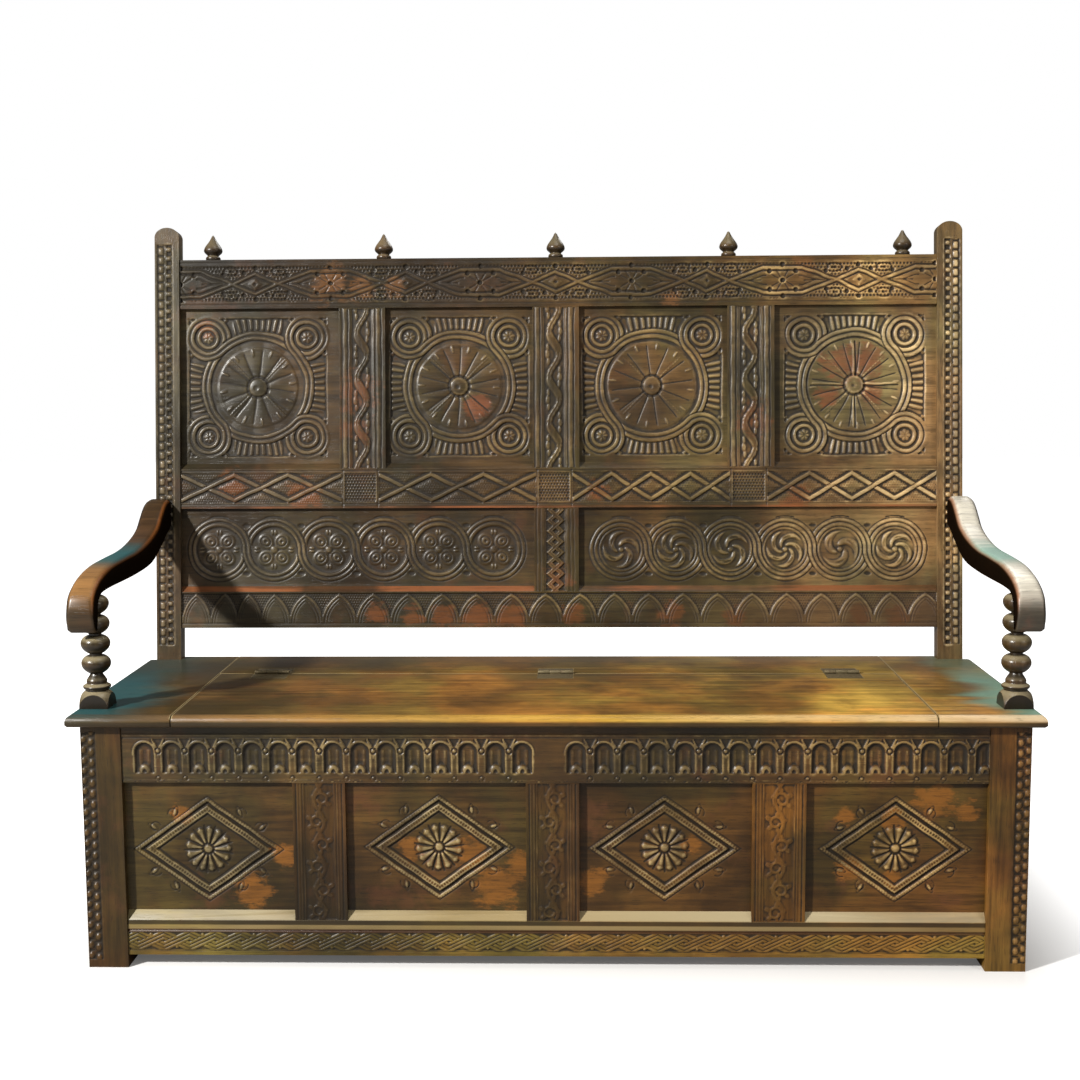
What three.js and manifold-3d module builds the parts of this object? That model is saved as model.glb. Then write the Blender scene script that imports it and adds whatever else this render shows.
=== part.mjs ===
// An oak box settle: a joined chest with a hinged seat lid, a raked and panelled back, and scrolled arms.
// Lengths are millimetres. +Z is up, the front faces -Y, and X runs along the seat.
// Depths along Y are counted from the seat's front edge. The last lines centre the whole on its depth.

import * as THREE from "three";
import { mergeVertices } from "three/addons/utils/BufferGeometryUtils.js";
import Module from "manifold-3d";

const wasm = await Module();
wasm.setup();

// Clearances
const fitGap = 0.3;
const cutOverrun = 2;

// Seat boards
const seatWidth = 1780;
const seatHeight = 485;
const seatThickness = 22;
const seatFrontOverhang = 24;
const seatEndOverhang = 21;
const seatEdgeRound = 12;
const seatUnderRound = 4;
const seatEdgeSteps = 4;
const endBoardWidth = 194.5;
const lidDepth = 388;
const lidGap = 1.5;
const battenWidth = 60;
const battenThickness = 20;
const battenInset = 70;
const battenClearance = 25;

// Posts
const frontPostWidth = 74;
const frontPostDepth = 60;
const backPostWidth = 53;
const backPostDepth = 34;
const backPostSetback = 543;
const backPostRise = 936;
const backPostHead = 21;
const backPostHeadSteps = 12;
const backRake = THREE.MathUtils.degToRad(5.9);

// Joined frames
const railThickness = 28;
const railSetback = 3;
const panelSetback = 12;
const panelThickness = 11;
const panelTongue = 6;
const panelTongueDepth = 8;
const panelBevel = 22;
const tenonThickness = 9;
const tenonLength = 20;
const tenonShoulder = 9;
const sillRise = 13;

// Back frame, in heights above the seat measured up the slope
const backBottomRailFoot = 68;
const backBottomRailHeight = 77;
const backLowerPanelTop = 327;
const backMidRailHeight = 85;
const backUpperPanelTop = 760;
const backTopRailHeight = 106;
const backMuntinWidth = 100;
const backMuntinCentreShares = [-0.2567, 0, 0.2567];
const backLowerMuntinWidth = 96;

// Box front
const footHeight = 24;
const frontBottomRailHeight = 67;
const frontSillRise = 17;
const frontSillGroove = 47;
const grooveWidth = 4;
const grooveDepth = 2;
const friezeRailHeight = 109;
const frontMuntinWidth = 98;
const frontMuntinCentreShares = [-0.271, 0, 0.261];

// Arcaded flutes of the frieze
const flutePitch = 49.8;
const fluteWidth = 36;
const fluteHeight = 57;
const fluteDepth = 5;
const fluteFoot = 19;
const fluteSteps = 6;
const fluteRuns = [
  { direction: -1, start: 54.7 },
  { direction: 1, start: 44.5 },
];

// Box ends, back and floor
const sideTopRailHeight = 90;
const sideBottomRailHeight = 80;
const rearTopRailHeight = 80;
const rearBottomRailHeight = 80;
const floorThickness = 14;
const floorHeight = 52;
const bearerWidth = 40;
const bearerHeight = 36;

// Arms
const armThickness = 54;
const armNoseSetback = 29;
const armNoseFoot = 146;
const armRise = 193;
const armCrestShare = 1.04;
const armCurveSegments = 2;
const armEdgeRound = 4;

// Turned arm supports
const supportEndSetback = 10;
const supportSetback = 84;
const supportBlockSize = 54;
const supportBlockHeight = 33;
const supportArchRadius = 26.5;
const supportBellHeight = 29;
const supportBellRadius = 25;
const supportRadius = 27.5;
const supportNeckRadius = 14;
const supportTenon = 12;
const supportSegments = 16;
const domeSegments = 32;
const domeSteps = 8;
const bobbinCount = 4;
const bobbinRoundShare = 0.43;
const bobbinSteps = 5;

// Finials
const finialHeight = 55;
const finialRadius = 20;
const finialSpreadShare = 0.913;
const finialCount = 5;
const finialSegments = 12;

// Hinges
const hingeWidth = 71;
const hingeLeafDepth = 50;
const hingeLeafThickness = 2;
const hingeKnuckleRadius = 4;
const hingePinRadius = 2;
const hingePinClearance = 0.1;
const hingeInset = 108;
const hingeSegments = 12;

// Places worked out from the sizes
const seatUnderside = seatHeight - seatThickness;
const postHalfSpan = seatWidth / 2 - seatEndOverhang;
const frontOpening = postHalfSpan - frontPostWidth;
const backOpening = postHalfSpan - backPostWidth;
const backPostRear = backPostSetback + backPostDepth;
const frontPostRear = seatFrontOverhang + frontPostDepth;
const frontRailFace = seatFrontOverhang + railSetback;
const lidWidth = seatWidth - 2 * (endBoardWidth + lidGap);
const hingeLine = lidDepth + lidGap / 2;
const hingeAxisHeight = seatHeight + hingeKnuckleRadius - hingeLeafThickness / 2;
const totalDepth = backPostSetback + backPostRise * Math.sin(backRake) + backPostDepth * Math.cos(backRake);

// Finishes
const oakDark = new THREE.MeshStandardMaterial({ color: 0x3d2a1a, roughness: 0.5, metalness: 0 });
const oakSeat = new THREE.MeshStandardMaterial({ color: 0x6f431c, roughness: 0.4, metalness: 0 });
const oakPlain = new THREE.MeshStandardMaterial({ color: 0x47331f, roughness: 0.7, metalness: 0 });
const hingeIron = new THREE.MeshStandardMaterial({ color: 0x5c5446, roughness: 0.55, metalness: 0.8 });

// Directions that turn a drawn profile into a run along the bench or into its depth
const axisX = new THREE.Vector3(1, 0, 0);
const axisY = new THREE.Vector3(0, 1, 0);
const axisZ = new THREE.Vector3(0, 0, 1);
const runAlongX = new THREE.Matrix4().makeBasis(axisY, axisZ, axisX);
const runAlongY = new THREE.Matrix4().makeBasis(axisX, axisZ, axisY.clone().negate());
const backFrame = new THREE.Matrix4()
  .makeTranslation(0, backPostSetback, seatHeight)
  .multiply(new THREE.Matrix4().makeRotationX(-backRake));

// Turns a closed geometry into a solid that can be joined and cut.
function solidOf(geometry) {
  const bare = geometry.clone();
  bare.deleteAttribute("normal");
  bare.deleteAttribute("uv");
  const merged = mergeVertices(bare);
  return new wasm.Manifold(
    new wasm.Mesh({
      numProp: 3,
      vertProperties: merged.attributes.position.array,
      triVerts: new Uint32Array(merged.index.array),
    }),
  );
}

// Turns a finished solid back into a geometry.
function geometryOf(solid) {
  const mesh = solid.getMesh();
  const geometry = new THREE.BufferGeometry();
  geometry.setAttribute("position", new THREE.BufferAttribute(mesh.vertProperties, 3));
  geometry.setIndex(new THREE.BufferAttribute(mesh.triVerts, 1));
  geometry.computeVertexNormals();
  return geometry;
}

// A block that fills a span: a low and a high place along each direction.
function blockGeometry({ x, y, z }) {
  const block = new THREE.BoxGeometry(x[1] - x[0], y[1] - y[0], z[1] - z[0]);
  return block.translate((x[0] + x[1]) / 2, (y[0] + y[1]) / 2, (z[0] + z[1]) / 2);
}

function block(span) {
  return solidOf(blockGeometry(span));
}

// The span that a pocket needs so that the piece in it has its clearance.
function pocketSpan(span) {
  const grown = {};
  for (const way of ["x", "y", "z"]) grown[way] = [span[way][0] - fitGap, span[way][1] + fitGap];
  return grown;
}

// Cuts a pocket for each span that enters a piece.
function withPockets(solid, spans, place = new THREE.Matrix4()) {
  return spans.reduce(
    (cut, span) => cut.subtract(solidOf(blockGeometry(pocketSpan(span)).applyMatrix4(place))),
    solid,
  );
}

// A profile drawn in depth and height, run along X.
function profileAlongX(points, x) {
  const shape = new THREE.Shape(points.map(([depth, height]) => new THREE.Vector2(depth, height)));
  const run = new THREE.ExtrudeGeometry(shape, { depth: x[1] - x[0], bevelEnabled: false });
  return solidOf(run.applyMatrix4(runAlongX).translate(x[0], 0, 0));
}

// An outline drawn from the front, run into the depth.
function outlineAlongY(shape, y, curveSegments) {
  const run = new THREE.ExtrudeGeometry(shape, { depth: y[1] - y[0], bevelEnabled: false, curveSegments });
  return solidOf(run.applyMatrix4(runAlongY).translate(0, y[1], 0));
}

// A closed skin through rings of points that all have the same count, with both ends capped.
function loft(rings) {
  const count = rings[0].length;
  const positions = rings.flat().flatMap((point) => point.toArray());
  const faces = THREE.ShapeUtils.triangulateShape(
    rings[0].map((point) => new THREE.Vector2(point.x, point.y)),
    [],
  );
  const last = (rings.length - 1) * count;
  const index = [];
  for (const [a, b, c] of faces) index.push(c, b, a, last + a, last + b, last + c);
  for (let ring = 0; ring < rings.length - 1; ring += 1) {
    for (let side = 0; side < count; side += 1) {
      const low = ring * count + side;
      const next = ring * count + ((side + 1) % count);
      index.push(low, next, next + count, low, next + count, low + count);
    }
  }
  const geometry = new THREE.BufferGeometry();
  geometry.setAttribute("position", new THREE.Float32BufferAttribute(positions, 3));
  geometry.setIndex(index);
  return geometry;
}

function addPiece(group, name, solid, material) {
  const piece = new THREE.Mesh(geometryOf(solid), material);
  piece.name = name;
  group.add(piece);
}

// The thin edge all round a panel, which sits in the grooves of its frame.
function tongueSpan(bay, face) {
  return {
    x: [bay.x[0] - panelTongueDepth, bay.x[1] + panelTongueDepth],
    y: [face, face + panelTongue],
    z: [bay.z[0] - panelTongueDepth, bay.z[1] + panelTongueDepth],
  };
}

// A panel, flat in front, with its back bevelled down to the thin edge.
function framedPanelGeometry(bay, face) {
  const tongue = tongueSpan(bay, face);
  const sections = [
    { y: face, inset: 0 },
    { y: face + panelTongue, inset: 0 },
    { y: face + panelTongue, inset: panelTongueDepth + fitGap },
    { y: face + panelThickness, inset: panelBevel },
  ];
  const rings = sections.map(({ y, inset }) => {
    const [left, right] = [tongue.x[0] + inset, tongue.x[1] - inset];
    const [low, high] = [tongue.z[0] + inset, tongue.z[1] - inset];
    return [
      new THREE.Vector3(left, low, -y),
      new THREE.Vector3(right, low, -y),
      new THREE.Vector3(right, high, -y),
      new THREE.Vector3(left, high, -y),
    ];
  });
  return loft(rings.reverse()).applyMatrix4(runAlongY);
}

function framedPanel(bay, face) {
  return solidOf(framedPanelGeometry(bay, face));
}

// The tenon at both ends of a rail or of an upright, as one span that runs through the piece.
function tenonSpan(span, along, across) {
  const middle = (span.y[0] + span.y[1]) / 2;
  return {
    [along]: [span[along][0] - tenonLength, span[along][1] + tenonLength],
    [across]: [span[across][0] + tenonShoulder, span[across][1] - tenonShoulder],
    y: [middle - tenonThickness / 2, middle + tenonThickness / 2],
  };
}

// The outline of a rail in depth and height, with a sill that slopes up to the panel above it.
function sillRailPoints({ y, z }, rise) {
  return [
    [y[0], z[0]],
    [y[1], z[0]],
    [y[1], z[1]],
    [y[0] + panelSetback, z[1]],
    [y[0], z[1] - rise],
  ];
}

// The outline of an upright whose foot is cut to the sloping sill below it.
function muntinPoints({ y, z }, rise) {
  return [
    [y[0], z[0] + fitGap],
    [y[0] + panelSetback, z[0] + rise + fitGap],
    [y[1], z[0] + rise + fitGap],
    [y[1], z[1] - fitGap],
    [y[0], z[1] - fitGap],
  ];
}

// The bays between the uprights of a frame.
function baysBetween(halfOpening, centres, width, z) {
  const lefts = [-halfOpening, ...centres.map((centre) => centre + width / 2)];
  const rights = [...centres.map((centre) => centre - width / 2), halfOpening];
  return lefts.map((left, bay) => ({ x: [left, rights[bay]], z }));
}

// The box front: posts, frieze, bottom rail, muntins and panels.
function boxFront(group) {
  const depth = [frontRailFace, frontRailFace + railThickness];
  const panelFace = frontRailFace + panelSetback;
  const sillFront = footHeight + frontBottomRailHeight;
  const friezeFoot = seatUnderside - friezeRailHeight;
  const railX = [-frontOpening + fitGap, frontOpening - fitGap];
  const bottomRail = { x: railX, y: depth, z: [footHeight, sillFront + frontSillRise] };
  const friezeRail = { x: railX, y: depth, z: [friezeFoot, seatUnderside - fitGap] };
  const centres = frontMuntinCentreShares.map((share) => share * 2 * frontOpening);
  const muntins = centres.map((centre) => ({
    x: [centre - frontMuntinWidth / 2, centre + frontMuntinWidth / 2],
    y: depth,
    z: [sillFront, friezeFoot],
  }));
  const bays = baysBetween(frontOpening, centres, frontMuntinWidth, [sillFront + frontSillRise, friezeFoot]);
  const tongues = bays.map((bay) => tongueSpan(bay, panelFace));
  const muntinTenons = muntins.map((muntin) => tenonSpan(muntin, "z", "x"));
  const railTenons = [tenonSpan(bottomRail, "x", "z"), tenonSpan(friezeRail, "x", "z")];

  const bottomBody = profileAlongX(sillRailPoints(bottomRail, frontSillRise), railX)
    .subtract(scratchGroove(railX, footHeight + frontSillGroove))
    .add(block(railTenons[0]));
  const bottomPockets = [...tongues, ...muntinTenons, floorSpan];
  addPiece(group, "front_bottom_rail", withPockets(bottomBody, bottomPockets), oakDark);

  let frieze = flutedFrieze(friezeRail).add(block(railTenons[1]));
  frieze = withPockets(frieze, [...tongues, ...muntinTenons]);
  for (const [, sign] of sides) frieze = withPockets(frieze, [bearerTenon], bearerPlace(sign));
  addPiece(group, "frieze_rail", frieze, oakDark);

  muntins.forEach((muntin, place) => {
    const body = profileAlongX(muntinPoints(muntin, frontSillRise), muntin.x).add(block(muntinTenons[place]));
    addPiece(group, `front_muntin_${place + 1}`, withPockets(body, tongues), oakDark);
  });
  bays.forEach((bay, place) => {
    addPiece(group, `front_panel_${place + 1}`, framedPanel(bay, panelFace), oakDark);
  });

  for (const [side, sign] of sides) {
    const end = endFrames[side];
    const post = withPockets(block(frontPostSpan(sign)), [...railTenons, ...tongues]);
    addPiece(group, `front_post_${side}`, withPockets(post, [...end.tenons, end.tongue], end.place), oakDark);
  }
}

// A scratched line along a rail's face.
function scratchGroove(x, height) {
  return profileAlongX(
    [
      [frontRailFace - grooveDepth, height - grooveWidth],
      [frontRailFace + grooveDepth, height],
      [frontRailFace - grooveDepth, height + grooveWidth],
    ],
    [x[0] - cutOverrun, x[1] + cutOverrun],
  );
}

// The two mirrored ends of the bench.
const sides = [
  ["left", -1],
  ["right", 1],
];

function sortedSpan(a, b) {
  return [Math.min(a, b), Math.max(a, b)];
}

// The frieze rail with its row of round-headed flutes on each side of a plain centre.
function flutedFrieze(rail) {
  const flute = new THREE.Shape();
  const springing = fluteHeight - fluteWidth / 2;
  flute.moveTo(fluteWidth / 2, 0);
  flute.lineTo(fluteWidth / 2, springing);
  flute.absarc(0, springing, fluteWidth / 2, 0, Math.PI, false);
  flute.lineTo(-fluteWidth / 2, 0);
  const cutter = outlineAlongY(flute, [rail.y[0] - cutOverrun, rail.y[0] + fluteDepth], fluteSteps);
  let frieze = block(rail);
  for (const { direction, start } of fluteRuns) {
    for (let out = start; out < frontOpening; out += flutePitch) {
      frieze = frieze.subtract(cutter.translate(direction * out, 0, rail.z[0] + fluteFoot));
    }
  }
  return frieze;
}

// A plain frame of two rails and one panel, drawn facing -Y about its own middle and turned into place.
function plainFrame({ halfOpening, topRail, bottomRail, place }) {
  const depth = [railSetback, railSetback + railThickness];
  const railX = [-halfOpening + fitGap, halfOpening - fitGap];
  const rails = {
    top: { x: railX, y: depth, z: topRail },
    bottom: { x: railX, y: depth, z: bottomRail },
  };
  const bay = { x: [-halfOpening, halfOpening], z: [bottomRail[1], topRail[0]] };
  const tongue = tongueSpan(bay, railSetback + panelSetback);
  const tenons = [tenonSpan(rails.top, "x", "z"), tenonSpan(rails.bottom, "x", "z")];
  return { rails, bay, tongue, tenons, place };
}

const sideTopSpan = [seatUnderside - sideTopRailHeight, seatUnderside - fitGap];
const sideBottomSpan = [footHeight, footHeight + sideBottomRailHeight];
const sideHalfOpening = (backPostSetback - frontPostRear) / 2;

// An end of the box, facing out along X.
function endFrame(sign) {
  const middle = frontPostRear + sideHalfOpening;
  return plainFrame({
    halfOpening: sideHalfOpening,
    topRail: sideTopSpan,
    bottomRail: sideBottomSpan,
    place: new THREE.Matrix4()
      .makeTranslation(sign * postHalfSpan, middle, 0)
      .multiply(new THREE.Matrix4().makeRotationZ((sign * Math.PI) / 2)),
  });
}

// The back of the box, facing the wall.
const rearFrame = plainFrame({
  halfOpening: backOpening,
  topRail: [seatUnderside - rearTopRailHeight, seatUnderside - fitGap],
  bottomRail: [footHeight, footHeight + rearBottomRailHeight],
  place: new THREE.Matrix4()
    .makeTranslation(0, backPostRear, 0)
    .multiply(new THREE.Matrix4().makeRotationZ(Math.PI)),
});
const endFrames = { left: endFrame(-1), right: endFrame(1) };

// The two bearers that carry the joints between the seat boards, from the frieze to the rear rail.
const bearerFront = frontRailFace + railThickness;
const bearerRear = backPostRear - railSetback - railThickness;
const bearerHalfLength = (bearerRear - bearerFront) / 2;
const bearerSpan = {
  x: [-bearerHalfLength + fitGap, bearerHalfLength - fitGap],
  y: [-bearerWidth / 2, bearerWidth / 2],
  z: [seatUnderside - bearerHeight, seatUnderside - fitGap],
};
const bearerTenon = tenonSpan(bearerSpan, "x", "z");

function bearerPlace(sign) {
  return new THREE.Matrix4()
    .makeTranslation(sign * (lidWidth / 2 + lidGap / 2), bearerFront + bearerHalfLength, 0)
    .multiply(new THREE.Matrix4().makeRotationZ(Math.PI / 2));
}

// The chest floor, held in a groove all round.
const floorSpan = {
  x: [
    -(postHalfSpan - railSetback - railThickness + panelTongueDepth),
    postHalfSpan - railSetback - railThickness + panelTongueDepth,
  ],
  y: [bearerFront - panelTongueDepth, bearerRear + panelTongueDepth],
  z: [floorHeight, floorHeight + floorThickness],
};

function placedBlock(span, place) {
  return solidOf(blockGeometry(span).applyMatrix4(place));
}

// Adds the two rails and the panel of a plain frame.
function addPlainFrame(group, name, frame, railPockets) {
  for (const [level, rail] of Object.entries(frame.rails)) {
    const tenon = level === "top" ? frame.tenons[0] : frame.tenons[1];
    const joined = placedBlock(rail, frame.place).add(placedBlock(tenon, frame.place));
    const grooved = withPockets(joined, [frame.tongue], frame.place);
    addPiece(group, `${name}_${level}_rail`, railPockets(grooved), oakPlain);
  }
  const panel = framedPanelGeometry(frame.bay, railSetback + panelSetback).applyMatrix4(frame.place);
  addPiece(group, `${name}_panel`, solidOf(panel), oakPlain);
}

function boxEndsAndRear(group) {
  const cutFloor = (rail) => withPockets(rail, [floorSpan]);
  for (const [side] of sides) addPlainFrame(group, `side_${side}`, endFrames[side], cutFloor);
  addPlainFrame(group, "rear", rearFrame, (rail) => {
    const bearers = sides.reduce((cut, [, sign]) => withPockets(cut, [bearerTenon], bearerPlace(sign)), rail);
    return cutFloor(bearers);
  });
  for (const [side, sign] of sides) {
    const place = bearerPlace(sign);
    const bearer = placedBlock(bearerSpan, place).add(placedBlock(bearerTenon, place));
    addPiece(group, `seat_bearer_${side}`, bearer, oakPlain);
  }
  const corners = sides.flatMap(([, sign]) => [frontPostSpan(sign), backLegSpan(sign)]);
  addPiece(group, "chest_floor_board", withPockets(block(floorSpan), corners), oakPlain);
}

function frontPostSpan(sign) {
  return {
    x: sortedSpan(sign * frontOpening, sign * postHalfSpan),
    y: [seatFrontOverhang, frontPostRear],
    z: [0, seatUnderside - fitGap],
  };
}

function backLegSpan(sign) {
  return {
    x: sortedSpan(sign * backOpening, sign * postHalfSpan),
    y: [backPostSetback, backPostRear],
    z: [0, seatHeight],
  };
}

// The moulded edge of a seat board, as insets and heights from its underside up.
function seatEdgeLevels() {
  const levels = [
    { inset: seatUnderRound, height: 0 },
    { inset: 0, height: seatUnderRound },
  ];
  for (let step = 0; step <= seatEdgeSteps; step += 1) {
    const turn = (step / seatEdgeSteps) * (Math.PI / 2);
    levels.push({
      inset: seatEdgeRound * (1 - Math.cos(turn)),
      height: seatThickness - seatEdgeRound * (1 - Math.sin(turn)),
    });
  }
  return levels;
}

// A seat board whose outline draws in along its moulded edges.
function seatBoard(outlineAt) {
  const rings = seatEdgeLevels().map(({ inset, height }) =>
    outlineAt(inset).map(([x, y]) => new THREE.Vector3(x, y, seatUnderside + height)),
  );
  return solidOf(loft(rings));
}

function endBoardOutline(inset) {
  const inner = lidWidth / 2 + lidGap;
  const outer = seatWidth / 2 - inset;
  const notch = backOpening - fitGap;
  const ear = backPostSetback - fitGap;
  return [
    [inner, inset],
    [outer, inset],
    [outer, ear],
    [notch, ear],
    [notch, backPostRear],
    [inner, backPostRear],
  ];
}

function mirroredOutline(outline) {
  return outline.map(([x, y]) => [-x, y]).reverse();
}

function lidOutline(inset) {
  return [
    [-lidWidth / 2, inset],
    [lidWidth / 2, inset],
    [lidWidth / 2, lidDepth],
    [-lidWidth / 2, lidDepth],
  ];
}

// The shallow recess that lets a hinge leaf lie flush with the boards.
function hingeRecess(centre, y) {
  return {
    x: [centre - hingeWidth / 2, centre + hingeWidth / 2],
    y,
    z: [seatHeight - hingeLeafThickness, seatHeight + cutOverrun],
  };
}

const hingeCentres = [-1, 0, 1].map((place) => place * (lidWidth / 2 - hingeInset));

function seatBoards(group) {
  const lidRecesses = hingeCentres.map((centre) =>
    hingeRecess(centre, [hingeLine - hingeLeafDepth, hingeLine + cutOverrun]),
  );
  const rearRecesses = hingeCentres.map((centre) =>
    hingeRecess(centre, [hingeLine - cutOverrun, hingeLine + hingeLeafDepth]),
  );
  addPiece(group, "seat_lid", withPockets(seatBoard(lidOutline), lidRecesses), oakSeat);
  const leftOutline = (inset) => mirroredOutline(endBoardOutline(inset));
  addPiece(group, "seat_end_board_left", seatBoard(leftOutline), oakSeat);
  addPiece(group, "seat_end_board_right", seatBoard(endBoardOutline), oakSeat);
  const rearBoard = block({
    x: [-lidWidth / 2 - lidGap + fitGap, lidWidth / 2 + lidGap - fitGap],
    y: [lidDepth + lidGap, backPostRear],
    z: [seatUnderside, seatHeight],
  });
  addPiece(group, "seat_rear_board", withPockets(rearBoard, rearRecesses), oakSeat);
  for (const [side, sign] of sides) {
    const centre = sign * (lidWidth / 2 - battenInset - battenWidth / 2);
    const batten = block({
      x: [centre - battenWidth / 2, centre + battenWidth / 2],
      y: [bearerFront + battenClearance, lidDepth - battenClearance],
      z: [seatUnderside - battenThickness, seatUnderside - fitGap],
    });
    addPiece(group, `lid_batten_${side}`, batten, oakPlain);
  }
}

// A round bar along X, centred on the hinge line.
function hingeBar(radius, x) {
  const bar = new THREE.CylinderGeometry(radius, radius, x[1] - x[0], hingeSegments);
  bar.rotateZ(Math.PI / 2);
  return solidOf(bar.translate((x[0] + x[1]) / 2, hingeLine, hingeAxisHeight));
}

// A leaf plate on one side of the hinge line, with the tabs that reach its knuckles.
function hingeLeaf(centre, direction, knuckles) {
  const clear = hingeKnuckleRadius + fitGap;
  const z = [seatHeight - hingeLeafThickness, seatHeight];
  const plate = block({
    x: [centre - hingeWidth / 2, centre + hingeWidth / 2],
    y: sortedSpan(hingeLine + direction * clear, hingeLine + direction * hingeLeafDepth),
    z,
  });
  return knuckles.reduce((leaf, x) => {
    const tab = block({ x, y: sortedSpan(hingeLine, hingeLine + direction * (clear + fitGap)), z });
    return leaf.add(tab).add(hingeBar(hingeKnuckleRadius, x));
  }, plate);
}

// A butt hinge: the fixed leaf holds the pin in its outer knuckles, and the moving leaf turns on it.
function hinges(group) {
  hingeCentres.forEach((centre, place) => {
    const third = hingeWidth / 3;
    const edges = [centre - hingeWidth / 2, centre - third / 2, centre + third / 2, centre + hingeWidth / 2];
    const outer = [
      [edges[0], edges[1] - fitGap / 2],
      [edges[2] + fitGap / 2, edges[3]],
    ];
    const inner = [edges[1] + fitGap / 2, edges[2] - fitGap / 2];
    const pin = hingeBar(hingePinRadius, [edges[0], edges[3]]);
    const bore = hingeBar(hingePinRadius + hingePinClearance, [edges[0], edges[3]]);
    const fixedLeaf = hingeLeaf(centre, 1, outer).add(pin);
    const movingLeaf = hingeLeaf(centre, -1, [inner]).subtract(bore);
    addPiece(group, `hinge_fixed_leaf_${place + 1}`, fixedLeaf, hingeIron);
    addPiece(group, `hinge_moving_leaf_${place + 1}`, movingLeaf, hingeIron);
  });
}

// The back: rails, muntins and panels, drawn upright and leaned back as one group.
function backPanelling(group) {
  const depth = [railSetback, railSetback + railThickness];
  const panelFace = railSetback + panelSetback;
  const railX = [-backOpening + fitGap, backOpening - fitGap];
  const bottomSill = backBottomRailFoot + backBottomRailHeight;
  const midSill = backLowerPanelTop + backMidRailHeight;
  const rails = {
    bottom: { x: railX, y: depth, z: [backBottomRailFoot, bottomSill + sillRise] },
    mid: { x: railX, y: depth, z: [backLowerPanelTop, midSill + sillRise] },
    top: { x: railX, y: depth, z: [backUpperPanelTop, backUpperPanelTop + backTopRailHeight] },
  };
  const upperCentres = backMuntinCentreShares.map((share) => share * 2 * backOpening);
  const muntinSpan = (centre, width, z) => ({ x: [centre - width / 2, centre + width / 2], y: depth, z });
  const upperMuntins = upperCentres.map((centre) =>
    muntinSpan(centre, backMuntinWidth, [midSill, backUpperPanelTop]),
  );
  const lowerMuntins = [muntinSpan(0, backLowerMuntinWidth, [bottomSill, backLowerPanelTop])];
  const upperZ = [midSill + sillRise, backUpperPanelTop];
  const lowerZ = [bottomSill + sillRise, backLowerPanelTop];
  const upperBays = baysBetween(backOpening, upperCentres, backMuntinWidth, upperZ);
  const lowerBays = baysBetween(backOpening, [0], backLowerMuntinWidth, lowerZ);
  const tongues = [...upperBays, ...lowerBays].map((bay) => tongueSpan(bay, panelFace));
  const muntins = [...upperMuntins, ...lowerMuntins];
  const muntinTenons = muntins.map((muntin) => tenonSpan(muntin, "z", "x"));

  for (const [level, rail] of Object.entries(rails)) {
    const points = level === "top" ? sillRailPoints(rail, 0) : sillRailPoints(rail, sillRise);
    const joined = profileAlongX(points, railX).add(block(tenonSpan(rail, "x", "z")));
    addPiece(group, `back_${level}_rail`, withPockets(joined, [...tongues, ...muntinTenons]), oakDark);
  }
  muntins.forEach((muntin, place) => {
    const name = place < upperMuntins.length ? `back_upper_muntin_${place + 1}` : "back_lower_muntin";
    const body = profileAlongX(muntinPoints(muntin, sillRise), muntin.x).add(block(muntinTenons[place]));
    addPiece(group, name, withPockets(body, tongues), oakDark);
  });
  upperBays.forEach((bay, place) =>
    addPiece(group, `back_upper_panel_${place + 1}`, framedPanel(bay, panelFace), oakDark),
  );
  lowerBays.forEach((bay, place) =>
    addPiece(group, `back_lower_panel_${sides[place][0]}`, framedPanel(bay, panelFace), oakDark),
  );
  const railTenons = Object.values(rails).map((rail) => tenonSpan(rail, "x", "z"));
  return [...railTenons, ...tongues];
}

// A back post in one length: upright below the seat, raked above it, with a rounded head.
function backPost(sign) {
  const lean = [Math.sin(backRake), Math.cos(backRake)];
  const headFront = [backPostSetback + backPostRise * lean[0], seatHeight + backPostRise * lean[1]];
  const sideView = profileAlongX(
    [
      [backPostSetback, 0],
      [backPostRear, 0],
      [backPostRear, seatHeight - backPostDepth * Math.tan(backRake / 2)],
      [headFront[0] + backPostDepth * lean[1], headFront[1] - backPostDepth * lean[0]],
      headFront,
      [backPostSetback, seatHeight],
    ],
    sortedSpan(sign * (backOpening - cutOverrun), sign * (postHalfSpan + cutOverrun)),
  );
  const middle = sign * (backOpening + backPostWidth / 2);
  const frontView = new THREE.Shape();
  frontView.moveTo(middle + backPostWidth / 2, -2 * seatHeight);
  frontView.lineTo(middle + backPostWidth / 2, backPostRise - backPostHead);
  frontView.absellipse(
    middle,
    backPostRise - backPostHead,
    backPostWidth / 2,
    backPostHead,
    0,
    Math.PI,
    false,
  );
  frontView.lineTo(middle - backPostWidth / 2, -2 * seatHeight);
  const run = new THREE.ExtrudeGeometry(frontView, {
    depth: 2 * seatHeight,
    bevelEnabled: false,
    curveSegments: backPostHeadSteps,
  });
  run.applyMatrix4(runAlongY).translate(0, seatHeight, 0).applyMatrix4(backFrame);
  return sideView.intersect(solidOf(run));
}

function backPosts(group, backPockets) {
  for (const [side, sign] of sides) {
    let post = withPockets(backPost(sign), backPockets, backFrame);
    for (const frame of [endFrames[side], rearFrame]) {
      post = withPockets(post, [...frame.tenons, frame.tongue], frame.place);
    }
    addPiece(group, `back_post_${side}`, post, oakDark);
  }
}

// A turned solid about Z, from radius and height shares of a stated size.
function turned(shares, radius, height, segments) {
  const points = shares.map(([out, up]) => new THREE.Vector2(out * radius, up * height));
  return new THREE.LatheGeometry(points, segments).rotateX(Math.PI / 2);
}

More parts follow.
